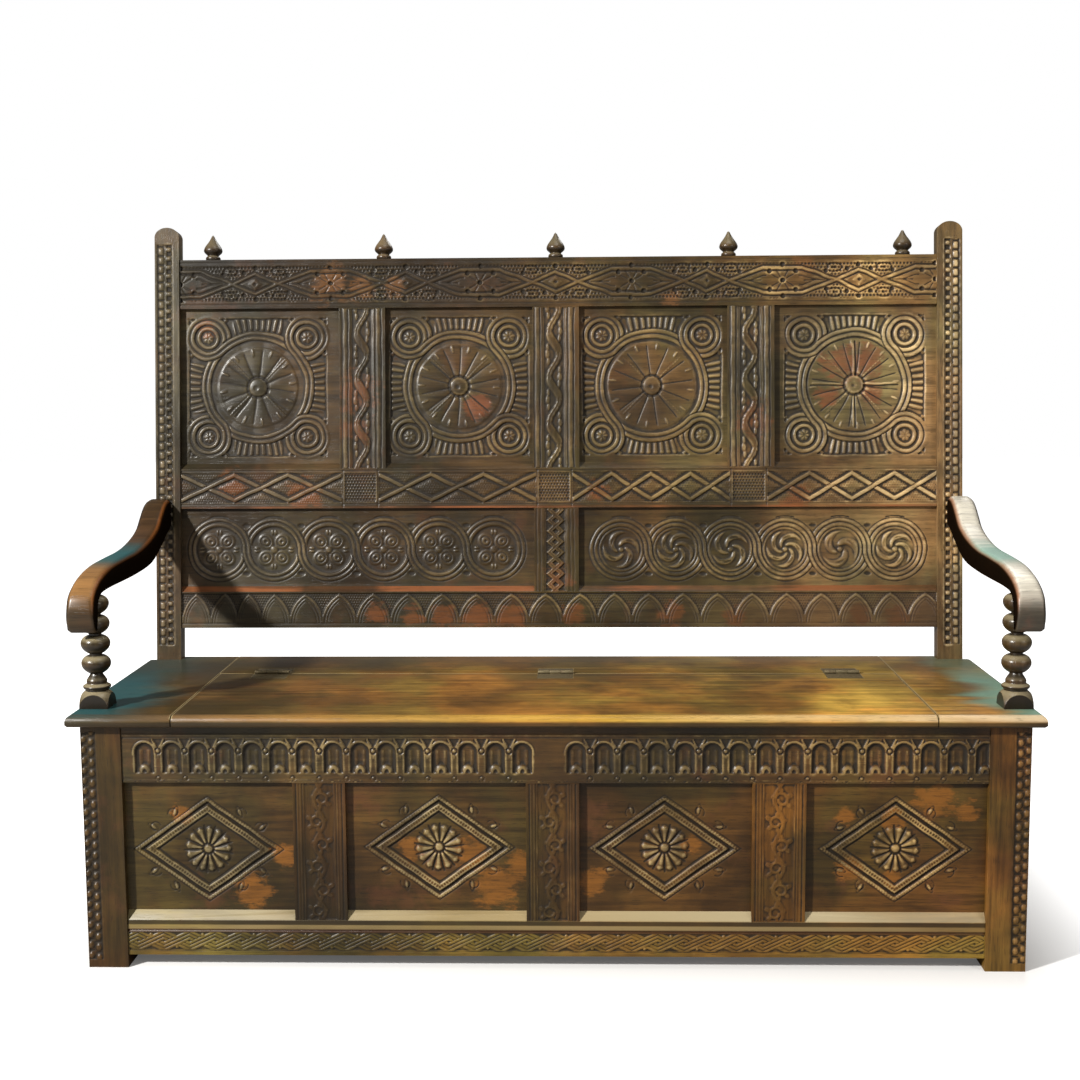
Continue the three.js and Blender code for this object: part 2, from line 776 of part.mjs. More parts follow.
const finialShares = [
  [0, 0],
  [0.62, 0],
  [0.7, 0.06],
  [0.62, 0.12],
  [0.36, 0.18],
  [0.4, 0.24],
  [0.82, 0.32],
  [1, 0.44],
  [0.92, 0.56],
  [0.64, 0.68],
  [0.34, 0.8],
  [0.2, 0.9],
  [0, 1],
];

function finials(group) {
  const foot = backUpperPanelTop + backTopRailHeight + fitGap;
  const pitch = (2 * backOpening * finialSpreadShare) / (finialCount - 1);
  for (let place = 0; place < finialCount; place += 1) {
    const finial = turned(finialShares, finialRadius, finialHeight, finialSegments);
    const centre = (place - (finialCount - 1) / 2) * pitch;
    finial.translate(centre, railSetback + railThickness / 2, foot);
    addPiece(group, `finial_${place + 1}`, solidOf(finial), oakDark);
  }
}

// The arm's side view, as shares of its reach from nose to post and of its rise from the nose's foot.
const armTopShares = [
  [0.96, 1.025],
  [0.92, 0.972],
  [0.874, 0.879],
  [0.817, 0.768],
  [0.7, 0.674],
  [0.553, 0.617],
  [0.388, 0.6],
  [0.231, 0.577],
  [0.121, 0.518],
  [0.057, 0.446],
  [0.02, 0.368],
  [0.006, 0.285],
  [0, 0.192],
  [0.003, 0.109],
  [0.013, 0.047],
  [0.028, 0],
];
const armUnderShares = [
  [0.042, 0.052],
  [0.05, 0.124],
  [0.053, 0.223],
  [0.072, 0.306],
  [0.101, 0.342],
  [0.145, 0.356],
  [0.222, 0.364],
  [0.369, 0.366],
  [0.509, 0.372],
  [0.663, 0.395],
  [0.755, 0.442],
  [0.858, 0.555],
  [0.939, 0.664],
];
const armHeelShare = 0.718;

// Where a height on the raked front of a back post lies in depth.
function postFaceAt(height) {
  return backPostSetback + (height - seatHeight) * Math.tan(backRake);
}

function armOutline() {
  const foot = seatHeight + armNoseFoot;
  const crest = foot + armCrestShare * armRise;
  const heel = foot + armHeelShare * armRise;
  const reach = postFaceAt(foot + armRise) - fitGap - armNoseSetback;
  const at = ([along, up]) => new THREE.Vector2(armNoseSetback + along * reach, foot + up * armRise);
  const outline = new THREE.Shape();
  outline.moveTo(postFaceAt(heel) - fitGap, heel);
  outline.lineTo(postFaceAt(crest) - fitGap, crest);
  outline.splineThru(armTopShares.map(at));
  outline.splineThru([...armUnderShares.map(at), new THREE.Vector2(postFaceAt(heel) - fitGap, heel)]);
  return outline;
}

function armGeometry(sign) {
  const run = new THREE.ExtrudeGeometry(armOutline(), {
    depth: armThickness - 2 * armEdgeRound,
    bevelThickness: armEdgeRound,
    bevelSize: armEdgeRound,
    bevelOffset: -armEdgeRound,
    bevelSegments: 1,
    curveSegments: armCurveSegments,
  });
  run.applyMatrix4(runAlongX);
  const middle = sign * (seatWidth / 2 - armThickness / 2);
  return run.translate(middle - armThickness / 2 + armEdgeRound, 0, 0);
}

// How high the underside of the arm is above the floor, over a stated depth.
function armUndersideAt(depth) {
  const reach = postFaceAt(seatHeight + armNoseFoot + armRise) - fitGap - armNoseSetback;
  const along = (depth - armNoseSetback) / reach;
  const next = armUnderShares.findIndex(([share]) => share >= along);
  const [[a0, h0], [a1, h1]] = [armUnderShares[next - 1], armUnderShares[next]];
  return seatHeight + armNoseFoot + armRise * (h0 + ((h1 - h0) * (along - a0)) / (a1 - a0));
}

// The bell at the foot of the turning, as radius and height shares.
const bellShares = [
  [0.86, 0],
  [1, 0.12],
  [1, 0.26],
  [0.8, 0.5],
  [0.62, 0.76],
];

// The bobbin-turned column from the top of its block into the arm.
function bobbinColumn(foot, top) {
  const bellTop = foot + supportBellHeight;
  const pitch = (top - bellTop) / bobbinCount;
  const points = [new THREE.Vector2(0, foot - supportBlockHeight / 2)];
  points.push(new THREE.Vector2(bellShares[0][0] * supportBellRadius, foot - supportBlockHeight / 2));
  for (const [out, up] of bellShares) {
    points.push(new THREE.Vector2(out * supportBellRadius, foot + up * supportBellHeight));
  }
  for (let bobbin = 0; bobbin < bobbinCount; bobbin += 1) {
    const middle = bellTop + (bobbin + 1 / 2) * pitch;
    for (let step = 0; step <= bobbinSteps; step += 1) {
      const turn = (step / bobbinSteps) * Math.PI;
      const radius = supportNeckRadius + (supportRadius - supportNeckRadius) * Math.sin(turn);
      points.push(new THREE.Vector2(radius, middle - bobbinRoundShare * pitch * Math.cos(turn)));
    }
  }
  points.push(new THREE.Vector2(supportNeckRadius, top + supportTenon));
  points.push(new THREE.Vector2(0, top + supportTenon));
  return solidOf(new THREE.LatheGeometry(points, supportSegments).rotateX(Math.PI / 2));
}

// The square block at the foot, its corners worked back to a dome so that each face ends in a round arch.
function supportBlock() {
  const half = supportBlockSize / 2;
  const top = seatHeight + supportBlockHeight;
  const square = block({ x: [-half, half], y: [-half, half], z: [seatHeight + fitGap, top] });
  const domeRadius = Math.hypot(half, supportArchRadius);
  const points = [new THREE.Vector2(0, seatHeight)];
  for (let step = 0; step < domeSteps; step += 1) {
    const turn = (step / domeSteps) * (Math.PI / 2);
    points.push(new THREE.Vector2(domeRadius * Math.cos(turn), seatHeight + domeRadius * Math.sin(turn)));
  }
  points.push(new THREE.Vector2(0, seatHeight + domeRadius));
  return square.intersect(solidOf(new THREE.LatheGeometry(points, domeSegments).rotateX(Math.PI / 2)));
}

function armsAndSupports(group) {
  const underside = armUndersideAt(supportSetback);
  const support = supportBlock().add(bobbinColumn(seatHeight + supportBlockHeight, underside));
  for (const [side, sign] of sides) {
    addPiece(group, `arm_${side}`, solidOf(armGeometry(sign)), oakDark);
    const seat = solidOf(armGeometry(sign).translate(0, 0, -fitGap));
    const middle = sign * (seatWidth / 2 - supportEndSetback - supportBlockSize / 2);
    const placed = support.translate(middle, supportSetback, 0);
    addPiece(group, `arm_support_${side}`, placed.subtract(seat), oakDark);
  }
}

const bench = new THREE.Group();
bench.position.y = -totalDepth / 2;
const back = new THREE.Group();
back.applyMatrix4(backFrame);
bench.add(back);

boxFront(bench);
boxEndsAndRear(bench);
seatBoards(bench);
hinges(bench);
const backPockets = backPanelling(back);
backPosts(bench, backPockets);
finials(back);
armsAndSupports(bench);

const settle = new THREE.Group();
settle.add(bench);
export default settle;
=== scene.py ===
"""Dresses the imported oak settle: carved oak, waxed seat, turned and scrolled arms, iron hinges and a plain studio."""

import math

import bmesh
import bpy
import numpy as np
from bpy.props import FloatProperty, FloatVectorProperty, IntProperty, PointerProperty
from mathutils import Matrix, Vector


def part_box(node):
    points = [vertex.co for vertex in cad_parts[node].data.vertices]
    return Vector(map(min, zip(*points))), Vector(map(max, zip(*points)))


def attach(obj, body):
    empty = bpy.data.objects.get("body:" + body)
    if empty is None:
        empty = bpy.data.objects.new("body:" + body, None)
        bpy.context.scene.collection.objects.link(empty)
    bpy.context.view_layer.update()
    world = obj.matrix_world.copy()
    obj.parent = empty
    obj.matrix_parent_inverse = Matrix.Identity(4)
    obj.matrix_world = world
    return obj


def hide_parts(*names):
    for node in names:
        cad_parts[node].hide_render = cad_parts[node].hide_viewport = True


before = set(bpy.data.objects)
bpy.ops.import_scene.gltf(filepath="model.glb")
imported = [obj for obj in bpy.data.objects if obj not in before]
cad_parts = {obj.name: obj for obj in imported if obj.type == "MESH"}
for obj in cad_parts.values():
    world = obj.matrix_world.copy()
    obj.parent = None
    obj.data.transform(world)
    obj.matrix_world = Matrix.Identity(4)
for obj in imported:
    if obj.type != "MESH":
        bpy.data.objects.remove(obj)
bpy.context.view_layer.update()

bl_info = {
    "name": "Carved oak settle",
    "version": (1, 0, 0),
    "blender": (4, 5, 0),
    "location": "3D View > Sidebar > Settle",
    "description": "Carves, turns and waxes the pieces of a panelled oak settle around its packed frame",
    "category": "Object",
}

MM = 0.001

# The carved planes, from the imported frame: the upright box front, the back leaned on its posts, and the seat.
RAKE = math.radians(5.9)
SEAT_TOP = 0.485
FRONT = {"origin": Vector((0, 0, 0)), "up": Vector((0, 0, 1)), "out": Vector((0, -1, 0))}
BACK = {
    "origin": Vector((0, 0.2095, SEAT_TOP)),
    "up": Vector((0, math.sin(RAKE), math.cos(RAKE))),
    "out": Vector((0, -math.cos(RAKE), math.sin(RAKE))),
}
SEAT = {"origin": Vector((0, -0.336517, SEAT_TOP)), "up": Vector((0, 1, 0)), "out": Vector((0, 0, 1))}
ACROSS = Vector((1, 0, 0))

# In metres: how far out the runs of colour reach, the lid's ends and rear edge, the arm supports' middle lines, the
# arm's front, its lowest point and its rise above that, the post's face behind it, and the gap between pieces.
POST_X = 0.85
LID_END, LID_REAR = 0.6946, 0.0525
SUPPORT_X, SUPPORT_Y = 0.853, SEAT["origin"].y + 0.084
ARM_FRONT, ARM_FOOT, ARM_RISE = SEAT["origin"].y + 0.029, SEAT_TOP + 0.146, 0.193
POST_FACE = SEAT["origin"].y + 0.543
GAP = 0.0003
SIDES = (("left", -1), ("right", 1))
CORNERS = ((-1, -1), (-1, 1), (1, -1), (1, 1))

# Vertices closer than WELD metres are merged. Faces that meet at less than FLAT are one face, edges are shaded smooth
# below SMOOTH and get a worn arris above HARD. In millimetres, RIM is the strip left round a carved sheet; a point
# is full of dirt where it lies HOLLOW_DEPTH below the mean of what is HOLLOW_REACH around it.
WELD = 2e-6
FLAT, SMOOTH, HARD = math.radians(0.6), math.radians(32), math.radians(38)
RIM = 0.6
HOLLOW_REACH, HOLLOW_DEPTH = 4.5, 1.1


# ---------------------------------------------------------------- settings


class SettleSizes(bpy.types.PropertyGroup):
    carve_step: FloatProperty(
        name="Carving step", description="Grid spacing of the carved faces", default=1.55 * MM, unit="LENGTH"
    )
    arris: FloatProperty(
        name="Arris", description="Width of the worn edge on every board", default=1.3 * MM, unit="LENGTH"
    )
    arm_round: FloatProperty(
        name="Arm rounding", description="Radius of the worn edges on top of the arms", default=16 * MM, unit="LENGTH"
    )
    bobbin_radius: FloatProperty(
        name="Bobbin radius", description="Widest radius of the turned bobbins", default=27 * MM, unit="LENGTH"
    )
    neck_radius: FloatProperty(
        name="Neck radius", description="Radius between two bobbins", default=11.5 * MM, unit="LENGTH"
    )
    lathe_steps: IntProperty(name="Turning steps", description="Facets round each turned piece", default=56)


class SettleColours(bpy.types.PropertyGroup):
    oak_dark: FloatVectorProperty(
        name="Recessed oak", description="Old wax and dirt in the cuts", default=(0.012, 0.008, 0.004), subtype="COLOR"
    )
    oak_mid: FloatVectorProperty(
        name="Oak", description="Waxed oak of the flat faces", default=(0.062, 0.042, 0.021), subtype="COLOR"
    )
    oak_worn: FloatVectorProperty(
        name="Worn oak", description="Rubbed ridges and edges", default=(0.27, 0.20, 0.11), subtype="COLOR"
    )
    oak_red: FloatVectorProperty(
        name="Rubbed patch", description="Patches worn through the wax", default=(0.14, 0.050, 0.018), subtype="COLOR"
    )
    seat_gold: FloatVectorProperty(
        name="Seat oak", description="Polished seat boards", default=(0.25, 0.135, 0.034), subtype="COLOR"
    )
    iron: FloatVectorProperty(name="Iron", description="Hinge iron", default=(0.21, 0.17, 0.095), subtype="COLOR")


# ---------------------------------------------------------------- carving strokes, in millimetres


def ease(t):
    """A smooth step from 0 to 1."""
    t = np.clip(t, 0, 1)
    return t * t * (3 - 2 * t)


def band(d, half, fall=1.6):
    """1 as far as half from a line, and easing to 0 over the fall beyond."""
    return 1 - ease((np.abs(d) - half) / fall)


def vee(d, half):
    """The section of a straight-sided cut, 1 on the line and 0 from half outward."""
    return np.clip(1 - np.abs(d) / half, 0, 1)


def dome(d, half):
    """The section of a round, 1 on the line and 0 from half outward."""
    return np.sqrt(np.clip(1 - (d / half) ** 2, 0, 1))


def zigzag(t):
    """A triangle wave between -1 and 1 with period 1 that starts at 1."""
    return 1 - 4 * np.abs(t - np.floor(t + 0.5))


def rotated(u, v, turn):
    """Coordinates along and across a direction."""
    c, s = math.cos(turn), math.sin(turn)
    return u * c + v * s, -u * s + v * c


def ripple(u, v, seed, reach=40.0):
    """A slow hand-made waver between about -1 and 1."""
    rng = np.random.default_rng(abs(seed))
    total = np.zeros_like(u)
    for _ in range(5):
        turn, wave, shift = rng.uniform(0, math.tau), rng.uniform(0.6, 1.8), rng.uniform(0, math.tau)
        total += np.sin((u * math.cos(turn) + v * math.sin(turn)) * wave * math.tau / reach / 2 + shift)
    return total / 3


def blurred(h, cells):
    """The height field smoothed over a number of cells."""
    radius = max(1, int(cells * 2))
    x = np.arange(-radius, radius + 1)
    kernel = np.exp(-0.5 * (x / cells) ** 2)
    kernel /= kernel.sum()
    padded = np.pad(h, radius, mode="edge")
    rows = np.apply_along_axis(lambda r: np.convolve(r, kernel, mode="valid"), 1, padded)
    return np.apply_along_axis(lambda c: np.convolve(c, kernel, mode="valid"), 0, rows)


def punches(h, u, v, spots, radius, depth):
    """Round marks of a punch at the given places."""
    for x, y in spots:
        d = np.hypot(u - x, v - y)
        near = d < radius
        h[near] = np.minimum(h[near], -depth * dome(d[near], radius) ** 0.7)
    return h


def stipple(h, u, v, mask, pitch, depth):
    """Rows of small punch marks wherever the mask is set."""
    row = np.round(v / pitch)
    du = (u - (row % 2) * pitch / 2) / pitch
    d = np.hypot((du - np.round(du)) * pitch, v - row * pitch)
    return h - mask * depth * dome(d, pitch * 0.42)


def segment(u, v, a, b):
    """Distance from each point to a straight line between two places."""
    du, dv = b[0] - a[0], b[1] - a[1]
    t = np.clip(((u - a[0]) * du + (v - a[1]) * dv) / (du * du + dv * dv), 0, 1)
    return np.hypot(u - a[0] - t * du, v - a[1] - t * dv)


def scored(h, across, lines, half):
    """The height field with straight grooves, each given by its place and depth."""
    for line, depth in lines:
        h = h - depth * vee(across - line, half)
    return h


def risen(h, mask, top):
    """The height field raised to top, where that is higher and the mask is set."""
    return np.where(mask, np.maximum(h, top), h)


def lay(h, mask, top):
    """The height field with a strap or motif of height top laid over it where the mask is set."""
    return h * (1 - mask) + top * mask


def twin_ridge(d, half, top=0.5, groove=2.3):
    """Across a strap: two rounded ridges with a groove between."""
    off = half * 0.55
    return top - 0.9 + 0.9 * (dome(d - off, off) + dome(d + off, off)) - groove * vee(d, half * 0.26)


def interlaced(h, first, second, side, half, deep):
    """Two tangent rings crossing as an S: over is the first on the positive side and the second on the other."""
    over = np.where(side > 0, first, second)
    under = np.where(side > 0, second, first)
    h = lay(h, band(under, half, 1.5), twin_ridge(under, half))
    h = lay(h, band(over, half + 1.6, 1.0), -deep)
    return lay(h, band(over, half, 1.0), twin_ridge(over, half))


# ---------------------------------------------------------------- reliefs


def upper_panel(cu, cv, petals, disc_radius, seed, cross=False):
    """A petalled disc in a ring that loops round four corner roundels, with sun strokes between them."""
    ring_radius, loop_radius, corner, touch, deep, edge = 113.0, 39.7, 108.0, 79.9, 3.6, 148

    def relief(u, v):
        w = ripple(u, v, seed)
        x, y = u - cu + w * 0.9, v - cv + ripple(u, v, seed + 9) * 0.9
        r, a = np.hypot(x, y), np.arctan2(y, x)
        ax, ay = np.abs(x), np.abs(y)
        reach = np.maximum(ax, ay)
        h = -deep * band(reach, edge, 3)
        along = np.where(ay > ax, x, y)
        comb = 0.5 + 0.5 * np.cos(along / (1 + (reach - 120) / 170) * math.tau / 12.2 + seed)
        zone = band(along, 50, 5) * ease((r - ring_radius - 10) / 3) * ease((edge + 1 - reach) / 3)
        h = h + zone * (deep - 0.4) * comb**0.8
        # the disc: shallow petals parted by thin cuts, ticks near the rim and a domed boss
        turn = 0.13 * seed
        part = ((a + turn) * petals / math.tau) % 1
        across = (np.abs(part - 0.5) - 0.5) * math.tau * r / petals
        petal = -1.9 + 0.9 * np.sin(part * math.pi) * ease(r / 40)
        petal = petal - 1.7 * vee(across, 1.9) * ease((disc_radius - r) / 6)
        tick = np.hypot((part - 0.5) * math.tau * r / petals, (r - disc_radius + 6) / 3.2)
        petal = petal + 1.9 * dome(tick, 2.6) * (r > 40)
        petal = petal - 1.4 * ease((r - disc_radius - 3) / 4)
        for k in range(2 if cross else 0):
            p, q = rotated(x, y, k * math.pi / 2)
            petal = petal - 2.6 * vee(q + 1.5, 2.3) * band(p, 92, 5) + 1.5 * dome(q - 2.4, 2.4) * band(p, 88, 6)
        for k in range(4):
            p, q = rotated(x, y, (k + 0.5) * math.pi / 2)
            ray = 0.9 * dome(q, 1.7) - 0.9 * vee(np.abs(q) - 3, 1.4)
            petal = petal + ray * band(p - 55, 28, 6) * (0.6 + 0.4 * np.sin(p * 0.9))
        boss = 19.5
        petal = petal - 1.6 * band(r - boss - 3, 1.2, 2.2)
        petal = np.where(r < boss, -1.6 + 3.4 * dome(r, boss) - 1.5 * dome(np.hypot(x + 3, y + 2), 5.5), petal)
        h = lay(h, band(r, ring_radius - 10, 2), petal)
        # the roundels' inside
        for sx, sy in CORNERS:
            px, py = x - corner * sx, y - corner * sy
            rho, b = np.hypot(px, py), np.arctan2(py, px)
            bud = -deep + 3.4 * dome(rho - 21, 4.2) + (deep - 0.6) * dome(rho, 13) - 1.8 * dome(rho, 3.4)
            bud = bud - 1.3 * (0.5 + 0.5 * np.cos(b * 7 + seed)) * band(rho - 8, 4, 2)
            h = lay(h, band(rho, 30, 2), bud)
            ray = 0.5 + 0.5 * np.cos(b * 24)
            h = h + 2.4 * ray * band(rho - 53, 3.6, 1.6) * (px * sx + py * sy > -6) * ease((edge + 4 - reach) / 3)
        # the ring and the loops are one strap, which crosses itself at each corner
        half, before = 8.8, h
        ring_d = r - ring_radius
        h = lay(h, band(ring_d, half, 1.5), twin_ridge(ring_d, half))
        for sx, sy in CORNERS:
            loop_d = np.hypot(x - corner * sx, y - corner * sy) - loop_radius
            h = lay(h, band(loop_d, half, 1.5), twin_ridge(loop_d, half))
            tangent = np.hypot(x - sx * touch, y - sy * touch)
            side = (x * sx - y * sy) * sx * sy
            h = np.where(tangent < 37, interlaced(before, ring_d, loop_d, side, half, deep), h)
        return h + 0.3 * w

    return relief


def lower_panel(first, pitch, cv, whorl, seed):
    """Six rings woven into each other, with four leaves or a whorl of commas in each."""
    radius, half, deep = pitch / 2, 8.0, 3.8

    def relief(u, v):
        w = ripple(u, v, seed)
        y = v - cv
        h = -0.6 * band(y, 76, 3)
        centres = [first + k * pitch for k in range(6)]
        for k, cu in enumerate(centres):
            x = u - cu + 0.6 * w
            r, a = np.hypot(x, y), np.arctan2(y, x)
            petal = np.full_like(r, -deep)
            if whorl:
                lobes = (4, 5, 4, 5, 3, 5)[k]
                part = ((a + r * 0.058 + k * 1.3) * lobes / math.tau) % 1
                petal = petal + 4.4 * dome(part - 0.5, 0.30) * ease((r - 4) / 7) * ease((42 - r) / 4)
                petal = petal - 1.6 * dome(np.hypot(r - 27, (part - 0.5) * 40), 5)
                petal = np.maximum(petal, -deep + 3.6 * dome(r - 46, 3.4))
                petal = np.maximum(petal, -2 + 2.4 * dome(r, 5.5))
            else:
                for turn in range(4):
                    p, q = rotated(x, y, (turn + 0.5) * math.pi / 2)
                    leaf = np.hypot((p - 25) / 1.12, q)
                    lobe = -deep + 4.0 * dome(leaf, 17.5) - 2.2 * vee(leaf - 9.5, 2.0) - 1.8 * dome(leaf, 3.2)
                    petal = risen(petal, leaf < 17.5, lobe)
                    p, q = rotated(x, y, turn * math.pi / 2)
                    dash = np.hypot((p - 37) / 2.4, np.abs(q) - 3.4)
                    petal = risen(petal, dash < 2.6, -deep + 3.6 * dome(dash, 2.6))
                petal = np.maximum(petal, -2.6 + 3.0 * dome(r, 8.5))
            h = lay(h, band(r, 51.5, 1.5), petal)
        # the outer arcs, then the woven crossings between neighbours
        arcs = [np.hypot(u - cu + 0.6 * w, y) - radius for cu in centres]
        for d in arcs:
            h = lay(h, band(d, half + 2.0, 1.2), -1.8)
        for d in arcs:
            h = lay(h, band(d, half, 1.4), twin_ridge(d, half))
        for a_u, b_u, a_d, b_d in zip(centres, centres[1:], arcs, arcs[1:]):
            middle = (a_u + b_u) / 2
            woven = interlaced(h, a_d, b_d, y, half, deep)
            h = np.where((np.abs(u - middle) < 24) & (np.abs(y) < 40), woven, h)
            notch = np.hypot((u - middle) / 1.6, np.abs(y) - 52)
            h = h - 2.2 * dome(notch, 5.5)
        for cu in centres:
            crescent = np.hypot(u - cu, y + 4) - 76
            h = h - 2.2 * vee(crescent, 2.0) * band(u - cu, 17, 6) * (y > 0)
        return h + 0.25 * w

    return relief


def zigzag_bay(h, u, v, lo, hi, cv, amp, crossings):
    """One bay of the middle rail: two ribs that zigzag across each other, with sunk and pillowed fields between."""
    t = (u - lo) / (hi - lo)
    inside = band(t - 0.5, 0.497, 0.004)
    wave = amp * zigzag(t * crossings / 2)
    slope = 1 / math.hypot(1, 2 * amp * crossings / (hi - lo))
    y = v - cv + 0.7 * ripple(u, v, int(abs(lo)))
    near = np.minimum(np.abs(y - wave), np.abs(y + wave)) * slope
    ground = inside * (np.abs(y) < amp + 5)
    h = h - ground * (2.9 - 2.3 * ease((near - 4.5) / 11))
    h = stipple(h, u, v, ground * (near > 8), 5.4, 1.0)
    crossing = np.floor(t * crossings)
    ribs = ((y - wave) * slope, (y + wave) * slope)
    for index, (d, other) in enumerate(zip(ribs, reversed(ribs))):
        strap = band(d, 3.6, 1.2) * inside * ~((np.abs(other) < 5.4) & (crossing % 2 == index))
        h = lay(h, strap, -0.3 + 1.1 * dome(d, 5))
    return h


def mid_rail(u, v):
    """Four bays of crossing zigzags, with a sunk, punched square at each muntin."""
    cv, amp = 371.5, 27.5
    h = np.zeros_like(u)
    for lo, hi, crossings in ((-816, -464, 3), (-384, -43, 3), (35, 374, 4), (454, 816, 4)):
        h = zigzag_bay(h, u, v, lo, hi, cv, amp, crossings)
    for cu, size in ((-424, 76), (-4, 74), (414, 76)):
        field = band(u - cu, size / 2 - 5, 1) * band(v - cv, 30, 1)
        h = stipple(h - 1.3 * field, u, v, field, 6.4, 2.0)
        h = h - 1.5 * vee(np.abs(u - cu) - size / 2, 1.5)
    return scored(h, v, ((335.5, 1.4), (407.5, 1.4)), 1.6) + 0.25 * ripple(u, v, 3)


def top_rail(u, v):
    """Two ribs that part round long pointed eyes and small knots, with leaves cut between them and punched holes."""
    cv, eye, knot, period = 813.0, 114.0, 48.5, 325.0
    w = ripple(u, v, 5)
    x, y = u + 1.4 * w, v - cv + 1.0 * w
    ay = np.abs(y)
    from_knot = np.abs(x - period * np.round(x / period))
    from_eye = period / 2 - from_knot
    spread = np.where(from_eye < eye, 27 * np.minimum(1, (eye - from_eye) / 72), 22 * (1 - from_knot / knot))
    d = (ay - spread) * 0.92
    field = (ay < 38) * 1.0
    h = -0.5 * band(ay, 37, 1.5)
    h = h - 2.6 * vee(np.abs(d) - 5.0, 2.5) * field
    h = h + 0.6 * dome(d, 3.2) * field
    h = stipple(h, u, v, field * (d > 8.0), 7.5, 2.1)
    inner = (spread - ay) * 0.92
    h = h - 2.0 * vee(inner - 15.5, 1.8) * (from_eye < 96) * (from_eye > 34)
    h = h - 2.2 * vee(ay, 1.8) * (from_eye < 92) * (from_eye > 46)
    spandrel = np.hypot((from_knot - knot - 4) / 1.7, ay - 27)
    h = h - 2.4 * vee(spandrel - 9, 2.2) * field * (d > 6)
    h = h - 2.0 * dome(spandrel, 3.0)
    boss = from_knot / 1.2 + ay
    h = np.where((boss < 13) & (d < -3), -0.2 + 1.3 * dome(boss, 13) - 2.4 * dome(boss, 4.4), h)
    star = np.hypot(from_eye, ay)
    for turn in (0.5, 1.05):
        _, q = rotated(from_eye, ay, turn)
        h = h - 2.0 * vee(q, 1.7) * (star > 8) * (star < 27)
    spots = []
    for k in range(-3, 4):
        eye_at, knot_at = (k + 0.5) * period, k * period
        spots.append((eye_at, cv))
        spots += [(middle, cv + sy * 34) for middle in (eye_at, knot_at) for sy in (-1, 1)]
        for middle, du, dv in ((eye_at, 28, 20), (knot_at, 25, 24), (knot_at, 70, 20)):
            spots += [(middle + sx * du, cv + sy * dv) for sx, sy in CORNERS]
    h = punches(h, u + 1.4 * w, v + 1.0 * w, spots, 5.3, 4.8)
    return scored(h, v, ((768.5, 1.2), (858.5, 0.9)), 1.5) + 0.25 * w


ARCH_PEAKS = (-845, -783, -720, -668, -612, -545, -471, -397, -322, -248, -173, -98, -23, 51, *range(125, 900, 74))


def bottom_rail(u, v):
    """Pointed arches drawn with double lines, and stippled ground between their heads."""
    t = np.interp(u, ARCH_PEAKS, range(len(ARCH_PEAKS)))
    pitch, base = 72.0, 77.0
    h = np.zeros_like(u)
    d = np.hypot(np.abs(t - np.round(t)) * pitch + pitch / 2, v - base + 0.8 * ripple(u, v, 15)) - pitch
    spandrel = ease((d - 1.0) / 1.4) * band(v - 112, 29, 1.2)
    h = stipple(h - 2.2 * spandrel, u, v, spandrel, 5.4, 1.4)
    clear = band(v - 110, 31, 1.5) * (d < 1)
    lines = 1.5 * vee(d + 5.4, 1.6) + 1.2 * vee(d + 11, 1.5) - 0.25 * dome(d + 2.6, 2.2) - 0.25 * dome(d + 8.2, 2.2)
    h = h - lines * clear
    return scored(h, v, ((142.5, 1.3), (77.0, 1.3)), 1.5) + 0.22 * ripple(u, v, 6)


def leaf_strand(cu, half, amp, period, phase):
    """A twisting leafy stem down the middle of a muntin, between two beads."""

    def relief(u, v):
        w = ripple(u, v, int(cu) + 900)
        x = u - cu + 0.8 * w
        h = -2.5 * band(x, half - 0.5, 1.8)
        t = v / period + phase
        centre = amp * np.sin(t * math.tau)
        falling = -np.cos(t * math.tau)
        lean = 1 / np.hypot(1, amp * math.tau / period * falling)
        d = (x - centre) * lean
        width = 5.4 + 2.8 * np.maximum(falling, 0)
        barbs = 0.5 + 0.5 * np.cos((v + np.abs(d) * 1.4) * math.tau / 11)
        stem = -0.6 + (1.0 + 0.7 * np.maximum(falling, 0)) * dome(d, width + 1) - 1.3 * vee(d, 1.5) * (falling < 0.3)
        stem = stem - 1.2 * barbs * ease((np.abs(d) - 2.4) / 3) * ease((0.5 - falling) / 0.4)
        h = lay(h, 1 - ease((np.abs(d) - width) / 1.8), stem)
        step = np.round(t * 2 - 0.5)
        side = np.where(step % 2 == 0, -1, 1)
        py = (t - (step + 0.5) / 2) * period
        for far, up, long, wide in ((half - 8, 0, 2.0, 5.0), (half - 9, 16, 2.4, 3.6), (half - 10, -15, 2.4, 3.6)):
            lobe = np.hypot(x - side * far, (py - up) / long)
            h = risen(h, lobe < wide, -2.5 + 2.5 * dome(lobe, wide) - 0.9 * vee(lobe, 1.4))
        h = h - 1.8 * vee(np.abs(x) - half - 2.5, 1.6)
        bead = np.abs(x) - half - 14.5
        h = h + 1.5 * dome(bead, 5.0) - 1.8 * vee(np.abs(bead) - 6.4, 1.6)
        return h + 0.2 * w

    return relief


def lower_muntin(u, v):
    """Two plain zigzags across each other on stippled ground, between upright grooves."""
    w = ripple(u, v, 8)
    x = u + 2 + 0.8 * w
    h = -2.4 * band(x, 20, 1.6)
    wave = 13 * zigzag(v / 46)
    for d in ((x - wave) * 0.66, (x + wave) * 0.66):
        h = lay(h, band(d, 3.6, 1.4), 0.1 - 1.5 * vee(d, 1.3))
    fields = band(x, 18, 1) * (h < -1.8)
    h = stipple(h, u, v, fields, 5.2, 1.0)
    return scored(h, np.abs(x), ((23, 1.7), (32, 1.3), (40, 1.3)), 1.6) + 0.2 * w


